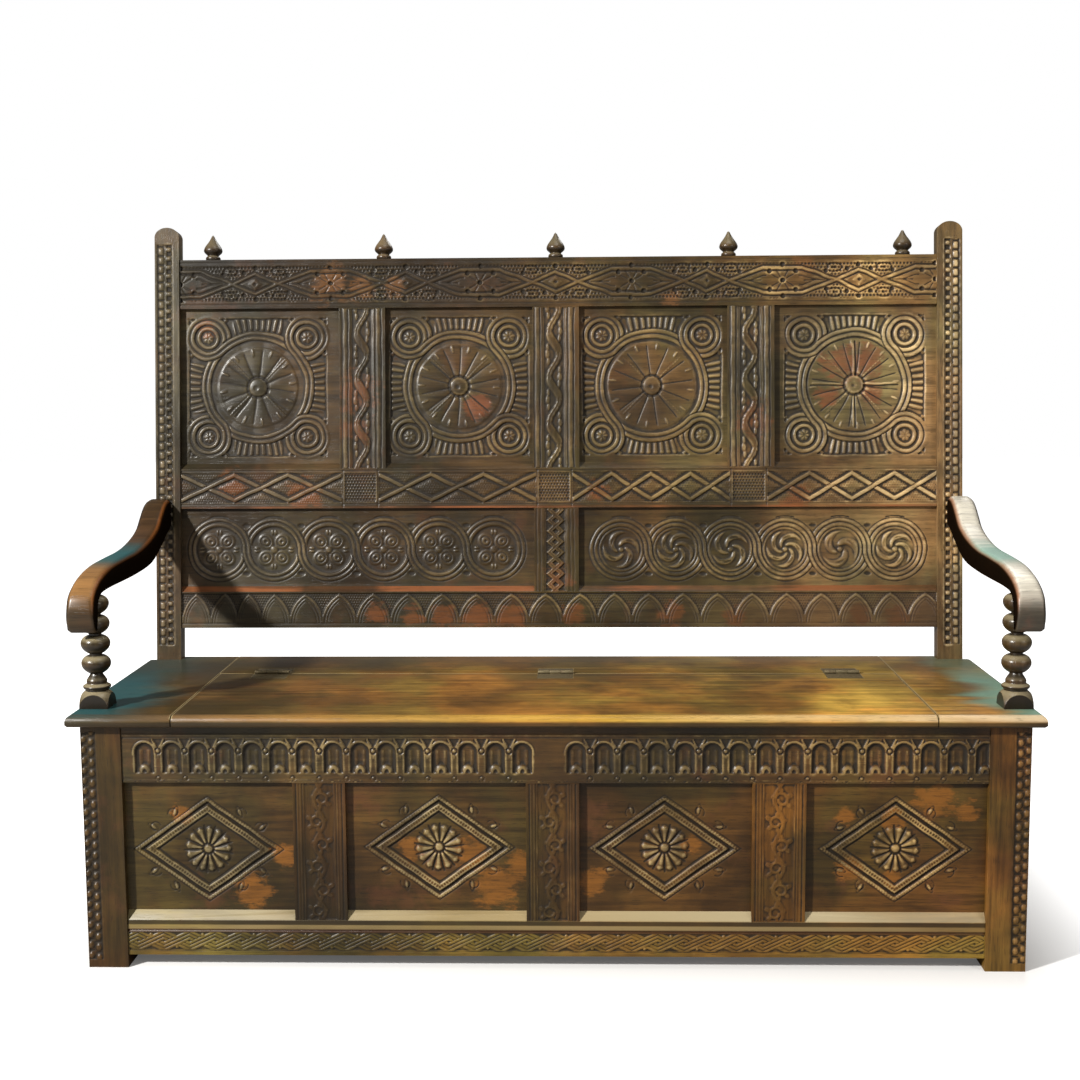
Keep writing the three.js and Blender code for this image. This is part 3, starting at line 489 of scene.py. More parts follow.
def front_muntin(cu):
    """A low leafy scroll between upright fillets: a wavering stem with small leaves and flecks."""

    def relief(u, v):
        w = ripple(u, v, int(cu) + 950)
        x, y = u - cu + 1.2 * w, v + 1.5 * ripple(u, v, int(cu) + 33)
        h = -1.9 * band(x, 27, 2)
        period = 86.0
        t = y / period
        centre = 9 * np.sin(t * math.tau)
        d = (x - centre) * 0.85
        stem = band(d, 2.0, 1.6) * band(x, 25, 2)
        h = lay(h, stem, -0.5)
        rows = np.floor(t * 2)
        for shift in (-1, 0, 1):
            row = rows + shift
            side = np.where(row % 2 == 0, 1.0, -1.0)
            px, py = -(x + side * 5) * side, y - (row + 0.5) * period / 2
            rho, a = np.hypot(px, py), np.arctan2(py, px)
            curl = rho - (7 + 2.6 * (a + math.pi) / math.pi)
            h = risen(h, (np.abs(curl) < 2.6) & (rho < 15), -1.9 + 1.7 * dome(curl, 2.6))
            for turn, far, size in ((0.5, 15, 4.6), (-0.7, 15, 4.2), (1.7, 15, 4.0), (-1.8, 16, 4.0), (2.9, 15, 3.6)):
                p, q = rotated(px, py, turn)
                leaf = np.hypot((p - far) / 1.7, q)
                lobe = -1.9 + 1.9 * dome(leaf, size) - 0.9 * vee(q, 1.2)
                h = risen(h, (leaf < size) & (np.abs(x) < 26), lobe)
        return scored(h, np.abs(u - cu), ((31, 2.2), (36.5, 1.6), (42.5, 2.2)), 1.8) + 0.25 * w

    return relief


FLUTE_LEFT = [-54.7 - 49.8 * k + 0.6 * math.sin(k * 2.1) for k in range(15)]
FLUTE_RIGHT = [44.5 + 49.5 * k + 0.6 * math.sin(k * 1.7) for k in range(16)]


def frieze(u, v):
    """Round-headed flutes with a bright scoop at each foot, and forked fillets between their heads."""
    w = ripple(u, v, 12)
    h = np.zeros_like(u)
    foot, spring, wide, deep = 373.0, 411.0, 17.8, 5.0
    for cu in FLUTE_LEFT + FLUTE_RIGHT:
        near = (np.abs(u - cu) < 24.8) & (v > foot - 6) & (v < 440)
        x, y = (u - cu)[near], v[near]
        r = np.hypot(x, np.maximum(y - spring, 0))
        part = h[near]
        rim = 1.0 * dome(r - wide - 2.4, 2.2) * (y > spring - 6)
        part = part + rim - 1.2 * vee(r - wide - 5.6, 1.2) * (y > spring)
        hollow = -deep * dome(r, wide) ** 0.6 + 1.1 * dome(np.abs(x) - 7, 3) * (y < spring + 4)
        part = np.where((r < wide) & (y > foot), hollow, part)
        scoop = np.hypot(x, (y - foot) * 0.86)
        part = risen(part, (scoop < 13) & (y > foot), -deep + (deep + 1.0) * dome(scoop, 13))
        part = part - 3.0 * dome(np.hypot(x, (y - foot - 1) * 0.7), 4.2) * (y > foot)
        h[near] = part
    for run in (FLUTE_LEFT[::-1], FLUTE_RIGHT):
        for a, b in zip(run, run[1:]):
            cu = (a + b) / 2
            near = (np.abs(u - cu) < 14) & (v > 398) & (v < 438)
            x, y = u[near], v[near]
            head_a, head_b = (np.hypot(x - flute, np.maximum(y - spring, 0)) for flute in (a, b))
            part = np.where((head_a > 22.6) & (head_b > 22.6) & (y > 416) & (y < 436), -2.0, h[near])
            for end in ((cu - 11, 435), (cu + 11, 435), (cu, 401)):
                part = risen(part, segment(x, y, (cu, 414), end) < 1.9, 0.5)
            d = np.hypot(x - cu, y - 413.5)
            h[near] = np.where(d < 6.6, -1.8 + 3.0 * dome(d, 4.0), part)
            near = (np.abs(u - cu) < 6) & (np.abs(v - 362) < 6)
            d = np.hypot(u[near] - cu, v[near] - 362)
            h[near] = np.where(d < 5.4, -1.5 + 2.8 * dome(d, 3.8), h[near])
    h = h - 1.3 * vee(v - 438.5, 1.5) + 0.6 * dome(v - 443, 2.6) + 0.7 * dome(v - 357, 2.0)
    return h + 0.22 * w


def front_panel(cu, cv, seed):
    """A double lozenge with milled edges round a flower, and small scrolls and ticks outside it."""
    wide, tall = 138.5, 99.0
    slope = wide * tall / math.hypot(wide, tall)

    def relief(u, v):
        w = ripple(u, v, seed)
        x, y = u - cu + 0.7 * w, v - cv + 0.5 * ripple(u, v, seed + 5)
        s = (np.abs(x) / wide + np.abs(y) / tall - 1) * slope
        run = (np.abs(x) * wide - np.abs(y) * tall) / math.hypot(wide, tall)
        r, a = np.hypot(x, y), np.arctan2(y, x)
        h = 0.35 * w
        milled = 0.5 + 0.5 * np.cos(run * math.tau / 5.6)
        h = h - 1.5 * vee(s - 1.2, 1.6)
        h = h + (1.2 - 1.1 * milled) * dome(s + 3.2, 3.2)
        h = h - 3.6 * dome(s + 9.6, 3.2)
        h = h + (1.1 - 1.3 * milled * band(s + 18, 2.2, 1)) * band(s + 18, 4.6, 1.3)
        h = h - 2.8 * dome(s + 26.4, 2.6)
        h = lay(h, 1 - ease((s + 29) / 1.6), -2.0 + 0.3 * w)
        # the flower
        petals = 13
        part = ((a + 0.2 * seed) * petals / math.tau) % 1
        edge = 45 - 5.0 * np.abs(part - 0.5) * 2
        across = np.abs(part - 0.5) * 2
        flower = -2.2 + 3.0 * (1 - across**2) * ease((edge - r) / 5) * ease((r - 7) / 8)
        flower = flower - 1.8 * vee((across - 1) * math.pi * r / petals, 1.8)
        tip = np.hypot((part - 0.5) * math.tau * r / petals, r - 38)
        flower = flower + 1.2 * dome(tip, 3.4)
        flower = np.where(r < 11, -2.4, flower)
        flower = risen(flower, r < 8.5, -1.8 + 3.6 * dome(np.hypot(x, y - 1), 8.5))
        h = lay(h, band(r, 46, 1.5), flower)
        # scrolls and ticks
        for sx, sy in CORNERS:
            for share, off, hand in ((0.33, 11, 1), (0.60, 12, -1)):
                px = (x * sx - wide * (1 - share) - off * 0.58) * hand
                py = y * sy - tall * share - off * 0.81
                p, q = rotated(px, py, 0.9 - 0.3 * seed * hand)
                rho, b = np.hypot(p, q), np.arctan2(q, p)
                arc = rho - 8.5 - 1.2 * b
                h = h - 1.7 * vee(arc, 1.5) * (b > -2.4) * (b < 2.2) * (s > 3)
                tick = np.hypot((p - 3) / 2.6, q + 1)
                h = h + 1.5 * dome(tick, 2.6) * (s > 3)
                h = h - 1.2 * vee(tick - 4.2, 1.2) * (s > 3)
        return h

    return relief


def front_bottom_rail(u, v):
    """Two zigzags of three fine strokes each, woven into each other, with a dot in each gap."""
    mid, amp, period = 51.0, 11.5, 97.0
    field = band(v - mid, 16.5, 1.2)
    h = -1.4 * field
    for sign in (1, -1):
        wave = mid + sign * amp * zigzag(u / period)
        d = (v - wave) * 0.9
        other = (v - 2 * mid + wave) * 0.9
        under = (np.abs(other) < 9.5) & ((np.floor(u / period * 2) % 2 == 0) == (sign > 0))
        for lane in (-6.2, 0, 6.2):
            stroke = ~under & (field >= 0.5) & (np.abs(d - lane) <= 2.7)
            h = risen(h, stroke, -1.5 + 1.9 * dome(d - lane, 2.7))
    for shift, height in ((0.25, 63), (0.75, 39)):
        dot = np.hypot((u / period - np.round(u / period - shift) - shift) * period, v - height)
        h = risen(h, dot < 3.0, -1.4 + 2.4 * dome(dot, 3.0))
    h = h - 1.6 * vee(v - 68.2, 1.4) - 1.4 * vee(v - 32.5, 1.5)
    return h + 0.2 * ripple(u, v, 14)


def beaded(columns, pitch, lo, hi, strip, square=False):
    """Columns of beads in a sunk strip; square gives the back posts' barrel beads and square punches."""

    def relief(u, v):
        w = ripple(u, v, int(abs(columns[0])))
        middle, half = (strip[0] + strip[1]) / 2, abs(strip[1] - strip[0]) / 2 - 0.5
        ends = ease((v - lo) / 3) * ease((hi - v) / 3)
        h = -1.7 * band(u - middle, half, 1.6) * ends
        inside = ends > 0.5
        for index, cu in enumerate(columns):
            x = u - cu - 0.5 * w
            t = (v - lo) / pitch + 0.25 * index + 0.04 * w
            y = (t - np.floor(t) - 0.5) * pitch
            if square and index == 0:
                barrel = -3.0 + 4.2 * dome(x, 6.4) * np.sqrt(np.clip(1 - (np.abs(y) / 8.6) ** 2.6, 0, 1))
                h = np.where((np.abs(x) < 6.4) & inside, barrel, h)
            elif square:
                punch = band(x, 4.4, 0.9) * band(y, 4.2, 0.9)
                h = np.where(inside, lay(h, punch, -4.6), h)
                bead = np.hypot(x, (np.abs(y) - pitch / 2) * 1.1)
                h = risen(h, (bead < 4.6) & inside, -1.7 + 2.4 * dome(bead, 4.6))
            else:
                d = np.hypot(x, y * 0.85)
                h = risen(h, (d < 5.4) & inside, -1.9 + 3.4 * dome(d, 5.4))
                h = h - 1.4 * vee(np.abs(y) - pitch / 2, 1.6) * band(x, 5.5, 1) * inside
        return h + 0.2 * w

    return relief


def worn_top(u, v):
    """The seat's slow unevenness and its let-in patch."""
    h = 0.35 * ripple(u, v, 21, 260) + 0.12 * ripple(u, v, 22, 60)
    patch = np.maximum(np.abs(u - 640) - 27, np.abs(v - 318) - 14)
    return h - 0.9 * vee(patch, 1.6)


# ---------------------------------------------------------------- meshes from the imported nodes


def worn_copy(node, width):
    """A merged copy of a CAD node's mesh with softened arrises, as a bmesh whose arris faces are marked."""
    bm = bmesh.new()
    bm.from_mesh(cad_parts[node].data)
    bmesh.ops.remove_doubles(bm, verts=bm.verts, dist=WELD)
    bmesh.ops.dissolve_limit(bm, angle_limit=FLAT, verts=bm.verts, edges=bm.edges)
    mark = bm.faces.layers.float.new("arris")
    if width > 0:
        hard = [e for e in bm.edges if len(e.link_faces) == 2 and e.calc_face_angle(0) > HARD]
        shape = {"segments": 2, "profile": 0.6, "affect": "EDGES", "clamp_overlap": True}
        for face in bmesh.ops.bevel(bm, geom=hard, offset=width, **shape)["faces"]:
            face[mark] = 1.0
        bmesh.ops.dissolve_degenerate(bm, dist=WELD, edges=bm.edges)
    bm.normal_update()
    for edge in bm.edges:
        edge.smooth = len(edge.link_faces) == 2 and edge.calc_face_angle(0) < SMOOTH
    for face in bm.faces:
        face.smooth = True
    return bm


def into_object(bm, name):
    """Turns a bmesh into an object of the scene."""
    mesh = bpy.data.meshes.new(name)
    bm.to_mesh(mesh)
    bm.free()
    piece = bpy.data.objects.new(name, mesh)
    bpy.context.collection.objects.link(piece)
    return piece


def settle_in(piece, node, material, body="frame"):
    """Gives a piece its finish and lets it stand for a CAD node."""
    piece.data.materials.clear()
    piece.data.materials.append(material)
    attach(piece, body)
    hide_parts(node)
    return piece


def height_grid(plane, level, window, relief, step):
    """A carved sheet as a mesh, and how hollow or raised it is at each vertex from -1 to 1.
    Its rim lies in the plane, at a level along the plane's outward way; window and step are in millimetres."""
    u0, u1, v0, v1 = window
    nu, nv = (max(2, int(round(length / step)) + 1) for length in (u1 - u0, v1 - v0))
    u, v = np.meshgrid(np.linspace(u0, u1, nu), np.linspace(v0, v1, nv))
    h = relief(u, v)
    h = 0.5 * h + 0.5 * blurred(h, 0.6)
    h[0, :] = h[-1, :] = h[:, 0] = h[:, -1] = 0
    hollow = np.clip((h - blurred(h, HOLLOW_REACH / step)) / HOLLOW_DEPTH, -1, 1)
    place = np.array(plane["origin"])
    for distance, way in ((u * MM, ACROSS), (v * MM, plane["up"]), (h * MM + level, plane["out"])):
        place = place + np.multiply.outer(distance, np.array(way))
    index = np.arange(nu * nv).reshape(nv, nu)
    corners = [index[:-1, :-1], index[:-1, 1:], index[1:, 1:], index[1:, :-1]]
    quads = np.stack(corners, axis=-1).reshape(-1, 4)
    mesh = bpy.data.meshes.new("sheet")
    mesh.vertices.add(nu * nv)
    mesh.vertices.foreach_set("co", place.reshape(-1))
    mesh.loops.add(quads.size)
    mesh.loops.foreach_set("vertex_index", quads.reshape(-1))
    mesh.polygons.add(len(quads))
    mesh.polygons.foreach_set("loop_start", np.arange(0, quads.size, 4))
    mesh.update(calc_edges=True)
    return mesh, hollow.reshape(-1)


def flat_faces(bm, plane, rows):
    """The largest set of faces that lie at one level of a plane, between two rows if given, and that level."""
    levels = {}
    for face in bm.faces:
        if face.normal.dot(plane["out"]) > 0.9998:
            middle = face.calc_center_median() - plane["origin"]
            if not rows or rows[0] < middle.dot(plane["up"]) / MM < rows[1]:
                levels.setdefault(round(middle.dot(plane["out"]) / MM * 10), []).append(face)
    faces = max(levels.values(), key=lambda group: sum(f.calc_area() for f in group))
    weighted = sum((f.calc_center_median() - plane["origin"]).dot(plane["out"]) * f.calc_area() for f in faces)
    return faces, weighted / sum(f.calc_area() for f in faces)


def extent(verts, plane):
    """How far vertices reach across a plane and up it, in metres."""
    us = [v.co.x for v in verts]
    vs = [(v.co - plane["origin"]).dot(plane["up"]) for v in verts]
    return min(us), max(us), min(vs), max(vs)


def with_cuts(bm, plane, faces, level, sunk):
    """The faces of a flat field together with those of the cuts that go down from it, sunk millimetres at most."""
    lo, hi = level - (sunk + 0.4) * MM, level + 0.05 * MM
    u0, u1, v0, v1 = extent([v for f in faces for v in f.verts], plane)

    def held(vert):
        place = vert.co - plane["origin"]
        inside = u0 - 1e-5 < vert.co.x < u1 + 1e-5 and v0 - 1e-5 < place.dot(plane["up"]) < v1 + 1e-5
        return inside and lo < place.dot(plane["out"]) < hi

    return [f for f in bm.faces if all(held(v) for v in f.verts)]


def carve(
    node, plane, relief, material, window=None, rows=None, sunk=0.0, step=None, arris=None,
    slot="oak_carved", body="frame",
):
    """Carves the flat face of a CAD node in a plane: it gives way to a fine height field welded to its rim.
    In millimetres, window limits the height field to a part of that face (lowest and highest u, then v), rows are the
    heights between which the face lies, and sunk is how deep the node's own cuts in it go."""
    sizes = bpy.context.scene.settle_sizes
    step = (step or sizes.carve_step) / MM
    bm = worn_copy(node, sizes.arris if arris is None else arris)
    faces, level = flat_faces(bm, plane, rows)
    if sunk:
        faces = with_cuts(bm, plane, faces, level, sunk)
    bmesh.ops.delete(bm, geom=faces, context="FACES")
    rim = [e for e in bm.edges if e.is_boundary]
    if sunk:
        rim_verts = list(dict.fromkeys(v for e in rim for v in e.verts))
        for vert in rim_verts:
            vert.co += plane["out"] * (level - (vert.co - plane["origin"]).dot(plane["out"]))
        bmesh.ops.remove_doubles(bm, verts=rim_verts, dist=WELD)
        rim = [e for e in bm.edges if e.is_boundary]
    u0, u1, v0, v1 = (reach / MM for reach in extent([v for e in rim for v in e.verts], plane))
    field = (u0 + RIM, u1 - RIM, v0 + RIM, v1 - RIM)
    if window:
        field = tuple(limit(pair) for limit, pair in zip((max, min, max, min), zip(window, field)))
    for edge in rim:
        edge.smooth = False
    for edge in [e for e in rim if e.calc_length() > 12 * MM]:
        bmesh.ops.subdivide_edges(bm, edges=[edge], cuts=int(edge.calc_length() / (9 * MM)))
    sheet, hollow = height_grid(plane, level, field, relief, step)
    before = len(bm.verts)
    bm.from_mesh(sheet)
    bpy.data.meshes.remove(sheet)
    open_edges = [e for e in bm.edges if e.is_boundary]
    filled = bmesh.ops.triangle_fill(bm, use_beauty=False, use_dissolve=False, edges=open_edges, normal=plane["out"])
    for item in filled["geom"]:
        if isinstance(item, bmesh.types.BMFace):
            item.smooth = True
            item.normal_update()
            if item.normal.dot(plane["out"]) < 0:
                item.normal_flip()
    left_open = [tuple(round(c / MM, 2) for c in e.verts[0].co) for e in bm.edges if e.is_boundary]
    if left_open:
        raise RuntimeError(f"{node}: {len(left_open)} edges are still open after carving, near {left_open[:6]}")
    piece = into_object(bm, "carved_" + node)
    values = np.zeros(len(piece.data.vertices), dtype=np.float32)
    values[before : before + len(hollow)] = hollow
    piece.data.attributes.new("relief", "FLOAT", "POINT").data.foreach_set("value", values)
    piece.data.shade_smooth()
    return settle_in(piece, node, material, body)


def plain(node, material, body="frame", arris=None):
    """A copy of a CAD node with worn arrises and smooth curves."""
    width = bpy.context.scene.settle_sizes.arris if arris is None else arris
    piece = into_object(worn_copy(node, width), "worn_" + node)
    piece.data.shade_smooth()
    return settle_in(piece, node, material, body)


# ---------------------------------------------------------------- shader values


def plug(value, socket):
    """Links a value to a socket, or sets a constant number or colour on it."""
    if isinstance(value, Field):
        value = value.socket
    if isinstance(value, bpy.types.NodeSocket):
        socket.id_data.links.new(value, socket)
    elif socket.type == "RGBA" and len(value) == 3:
        socket.default_value = (*value, 1)
    else:
        socket.default_value = value


def add_node(tree, kind, **values):
    """A shader node with its properties set, and its inputs linked or set by in_NAME or in_NUMBER."""
    made = tree.nodes.new(kind)
    for key, value in values.items():
        if key.startswith("in_"):
            plug(value, made.inputs[int(key[3:]) if key[3:].isdigit() else key[3:]])
        else:
            setattr(made, key, value)
    return made


class Field:
    """A shader value: arithmetic on it adds Math nodes, and rise, fall and within add smooth Map Range nodes."""

    def __init__(self, socket):
        self.socket, self.tree = socket, socket.id_data

    def maths(self, operation, first, second=0.0, clamp=False):
        made = add_node(self.tree, "ShaderNodeMath", operation=operation, use_clamp=clamp, in_0=first, in_1=second)
        return Field(made.outputs[0])

    def __add__(self, other):
        return self.maths("ADD", self, other)

    def __sub__(self, other):
        return self.maths("SUBTRACT", self, other)

    def __rsub__(self, other):
        return self.maths("SUBTRACT", other, self)

    def __mul__(self, other):
        return self.maths("MULTIPLY", self, other)

    def __truediv__(self, other):
        return self.maths("DIVIDE", self, other)

    def __abs__(self):
        return self.maths("ABSOLUTE", self)

    def max(self, other, clamp=False):
        return self.maths("MAXIMUM", self, other, clamp)

    def hypot(self, other):
        squares = self.maths("POWER", self, 2.0) + self.maths("POWER", other, 2.0)
        return squares.maths("SQRT", squares)

    def rise(self, lo, hi, out_lo=0.0, out_hi=1.0):
        made = add_node(self.tree, "ShaderNodeMapRange", interpolation_type="SMOOTHSTEP", in_0=self)
        for place, number in enumerate((lo, hi, out_lo, out_hi), 1):
            made.inputs[place].default_value = number
        return Field(made.outputs[0])

    def fall(self, lo, hi, out_lo=1.0, out_hi=0.0):
        return self.rise(lo, hi, out_lo, out_hi)

    def within(self, start, full, fading, end):
        """1 from full to fading, and 0 before start and after end."""
        return self.rise(start, full) * self.fall(fading, end)


def split(vector):
    """The X, Y and Z of a vector socket."""
    return map(Field, add_node(vector.id_data, "ShaderNodeSeparateXYZ", in_0=vector).outputs)


def noise(vector, scale, detail, rough, bend=0.0):
    """A noise texture looked up at a vector socket."""
    tree = vector.id_data
    made = add_node(tree, "ShaderNodeTexNoise", in_Vector=vector, in_Scale=scale, in_Detail=detail)
    set_inputs(made.inputs, {"Roughness": rough, "Distortion": bend})
    return Field(made.outputs[0])


def blend_colour(tree, share, first, second, mode="MIX"):
    """The second colour blended over the first by a share."""
    made = add_node(tree, "ShaderNodeMix", data_type="RGBA", blend_type=mode, in_0=share, in_6=first, in_7=second)
    return made.outputs[2]


def along(x, stops):
    """Colours blended along the settle; each stop is a place in metres, from -POST_X to POST_X, and a colour."""
    made = x.tree.nodes.new("ShaderNodeValToRGB")
    plug((x + POST_X) / (2 * POST_X), made.inputs[0])
    points = made.color_ramp.elements
    for index, (at, colour) in enumerate(stops):
        share = (at + POST_X) / (2 * POST_X)
        point = points[index] if index < 2 else points.new(share)
        point.position, point.color = share, (*colour, 1)
    return made.outputs[0]


def new_material(name):
    """A material, its node tree and the inputs of its shader."""
    material = bpy.data.materials.new(name)
    material.use_nodes = True
    return material, material.node_tree, material.node_tree.nodes["Principled BSDF"].inputs


def set_inputs(shader, values):
    """Plugs values into inputs by name."""
    for key, value in values.items():
        plug(value, shader[key])


def new_group(name, given, made):
    """A node group with its inputs' and outputs' names: its tree, and the sockets inside it."""
    tree = bpy.data.node_groups.new(name, "ShaderNodeTree")
    for key in given:
        kind = "NodeSocketVector" if key == "Vector" else "NodeSocketFloat"
        tree.interface.new_socket(key, in_out="INPUT", socket_type=kind)
    for key in made:
        tree.interface.new_socket(key, in_out="OUTPUT", socket_type="NodeSocketFloat")
    start, end = tree.nodes.new("NodeGroupInput"), tree.nodes.new("NodeGroupOutput")
    return tree, start.outputs[: len(given)], end.inputs[: len(made)]


def grain_group():
    """Oak grain that runs along X of the vector it is given."""
    tree, (vector,), made = new_group("Oak grain", ("Vector",), ("Figure", "Streak", "Pores"))
    layers = (((1.6, 9, 9), 3.0, 0.55, 0.6), ((5.0, 90, 90), 5.0, 0.62, 0.35), ((34.0, 720, 720), 2.0, 0.5, 0.0))
    for index, (scale, detail, rough, bend) in enumerate(layers):
        place = (index * 3.1, index, 0)
        laid = add_node(tree, "ShaderNodeMapping", in_Vector=vector, in_Scale=scale, in_Location=place)
        plug(noise(laid.outputs[0], 1.0, detail, rough, bend), made[index])


def age_group():
    """Masks of dirt in hollows, rubbed ridges and uneven old wax, from the relief and arris attributes."""
    names = ("Dirt", "Rub", "Cloud", "Patch")
    _, (vector, relief, arris), made = new_group("Age", ("Vector", "Relief", "Arris"), names)
    uneven = Field(relief) + (noise(vector, 60.0, 4.0, 0.65) - 0.5) * 1.1
    spots = noise(vector, 11.0, 5.0, 0.62)
    raised = uneven.rise(0.22, 0.95) * spots.rise(0.40, 0.60, 0.35, 1.0)
    edge = Field(arris) * spots.rise(0.38, 0.62, 0.15, 0.8)
    dirt, rub = (uneven * -1.0).rise(0.06, 0.75), raised.max(edge, clamp=True)
    for value, socket in zip((dirt, rub, noise(vector, 3.2, 4.0, 0.6), spots.rise(0.54, 0.70)), made):
        plug(value, socket)


def patch_mask(place, spots):
    """A mask of ragged worn islands, round places given by x, z and radius in metres."""
    tree = place.id_data
    laid = add_node(tree, "ShaderNodeMapping", in_Vector=place, in_Scale=(24, 24, 52))
    ragged = noise(laid.outputs[0], 1.0, 5.0, 0.7)
    flat = add_node(tree, "ShaderNodeVectorMath", operation="MULTIPLY", in_0=place, in_1=(1, 0, 1)).outputs[0]
    total = None
    for x, z, radius in spots:
        away = add_node(tree, "ShaderNodeVectorMath", operation="DISTANCE", in_0=flat, in_1=(x, 0, z))
        near = 1.0 - Field(away.outputs["Value"]) / (radius * 1.3)
        total = total.max(near) if total else near
    jagged = total * 0.9 + (ragged - 0.5) * 1.9
    return jagged.rise(0.24, 0.62) * total.rise(0.0, 0.3)


# ---------------------------------------------------------------- materials


# The wood's tone changes across the settle, and with it a painted fall of light and shade, mostly darker to the left
# and brighter to the right, so tints run from post to post: x in metres, and a factor.
BACK_TONE_AND_LIGHT = (
    (-0.85, (1.08, 1.14, 1.26)), (-0.25, (0.76, 0.74, 0.60)), (0.30, (1.32, 1.26, 0.98)), (0.85, (3.5, 3.55, 3.4)),
)
TOP_TONE_AND_LIGHT = (
    (-0.85, (0.34, 0.34, 0.34)), (-0.1, (0.52, 0.49, 0.37)), (0.35, (1.35, 1.26, 0.92)), (0.85, (5.0, 4.7, 3.8)),
)
FRONT_TONE_AND_LIGHT = ((-0.85, (0.88, 0.86, 0.70)), (0.0, (0.96, 0.88, 0.66)), (0.85, (1.12, 0.90, 0.56)))
UPRIGHT_TONE_AND_LIGHT = (
    (-0.85, (0.74, 0.60, 0.38)), (0.0, (0.82, 0.70, 0.48)), (0.42, (1.85, 1.42, 0.68)), (0.85, (1.90, 1.45, 0.90)),
)
# The seat's tints are mostly painted light: painted shade to the left and a bright painted sheen from the middle to the
# right.
SEAT_TONE_AND_LIGHT = (
    (-0.88, (0.24, 0.36, 0.60)), (-0.62, (0.50, 0.52, 0.70)), (-0.15, (1.12, 1.10, 1.02)), (0.50, (2.45, 2.50, 2.1)),
    (0.88, (2.0, 2.2, 2.4)),
)
# Wear along the seat's nosing under a painted highlight, dim at the left and gold towards the right.
NOSING_SHEEN_AND_WEAR = (
    (-0.80, (0.07, 0.055, 0.035)), (-0.55, (0.27, 0.14, 0.045)), (0.1, (0.62, 0.37, 0.055)),
    (0.80, (0.72, 0.55, 0.34)),
)
# A painted highlight on the sill's upward bevel, along the settle.
SILL_HIGHLIGHT = ((-0.85, (0.42, 0.36, 0.22)), (-0.1, (0.36, 0.27, 0.13)), (0.85, (0.56, 0.48, 0.31)))

# Where the wax is worn through to warm wood: x, z and radius in metres.
PANEL_SPOTS = (
    (-0.105, 0.150, 0.055), (-0.150, 0.215, 0.040), (-0.060, 0.190, 0.035), (-0.265, 0.222, 0.030),
    (0.700, 0.318, 0.048), (0.625, 0.282, 0.030), (0.760, 0.300, 0.026), (0.545, 0.190, 0.030),
    (0.535, 0.290, 0.022), (0.625, 0.170, 0.022), (-0.500, 0.215, 0.030), (-0.560, 0.140, 0.045),
    (-0.690, 0.290, 0.026), (0.250, 0.230, 0.024), (0.075, 0.165, 0.030),
)
DISC_SPOTS = (
    (0.615, 1.115, 0.055), (0.665, 1.12, 0.05), (0.58, 1.05, 0.03), (0.68, 1.05, 0.03), (-0.17, 1.03, 0.035),
    (-0.76, 1.20, 0.03),
)
STRAND_SPOTS = ((-0.43, 1.06, 0.06), (-0.43, 0.98, 0.04), (0.42, 1.0, 0.05), (0.0, 0.66, 0.04))
EYE_SPOTS = (
    (-0.49, 1.292, 0.05), (-0.42, 1.285, 0.035), (-0.35, 1.285, 0.03), (0.53, 1.325, 0.03), (0.25, 1.25, 0.03),
)
ARCH_SPOTS = (
    (-0.385, 0.034), (-0.309, 0.03), (-0.242, 0.036), (-0.175, 0.04), (-0.101, 0.04), (0.036, 0.03), (0.248, 0.034),
    (0.383, 0.03), (0.652, 0.03), (0.730, 0.036),
)
MID_RAIL_SPOTS = ((-0.70, 0.86, 0.04), (-0.55, 0.84, 0.05), (0.09, 0.845, 0.03), (0.52, 0.83, 0.04))
ARCH_Z = 0.578


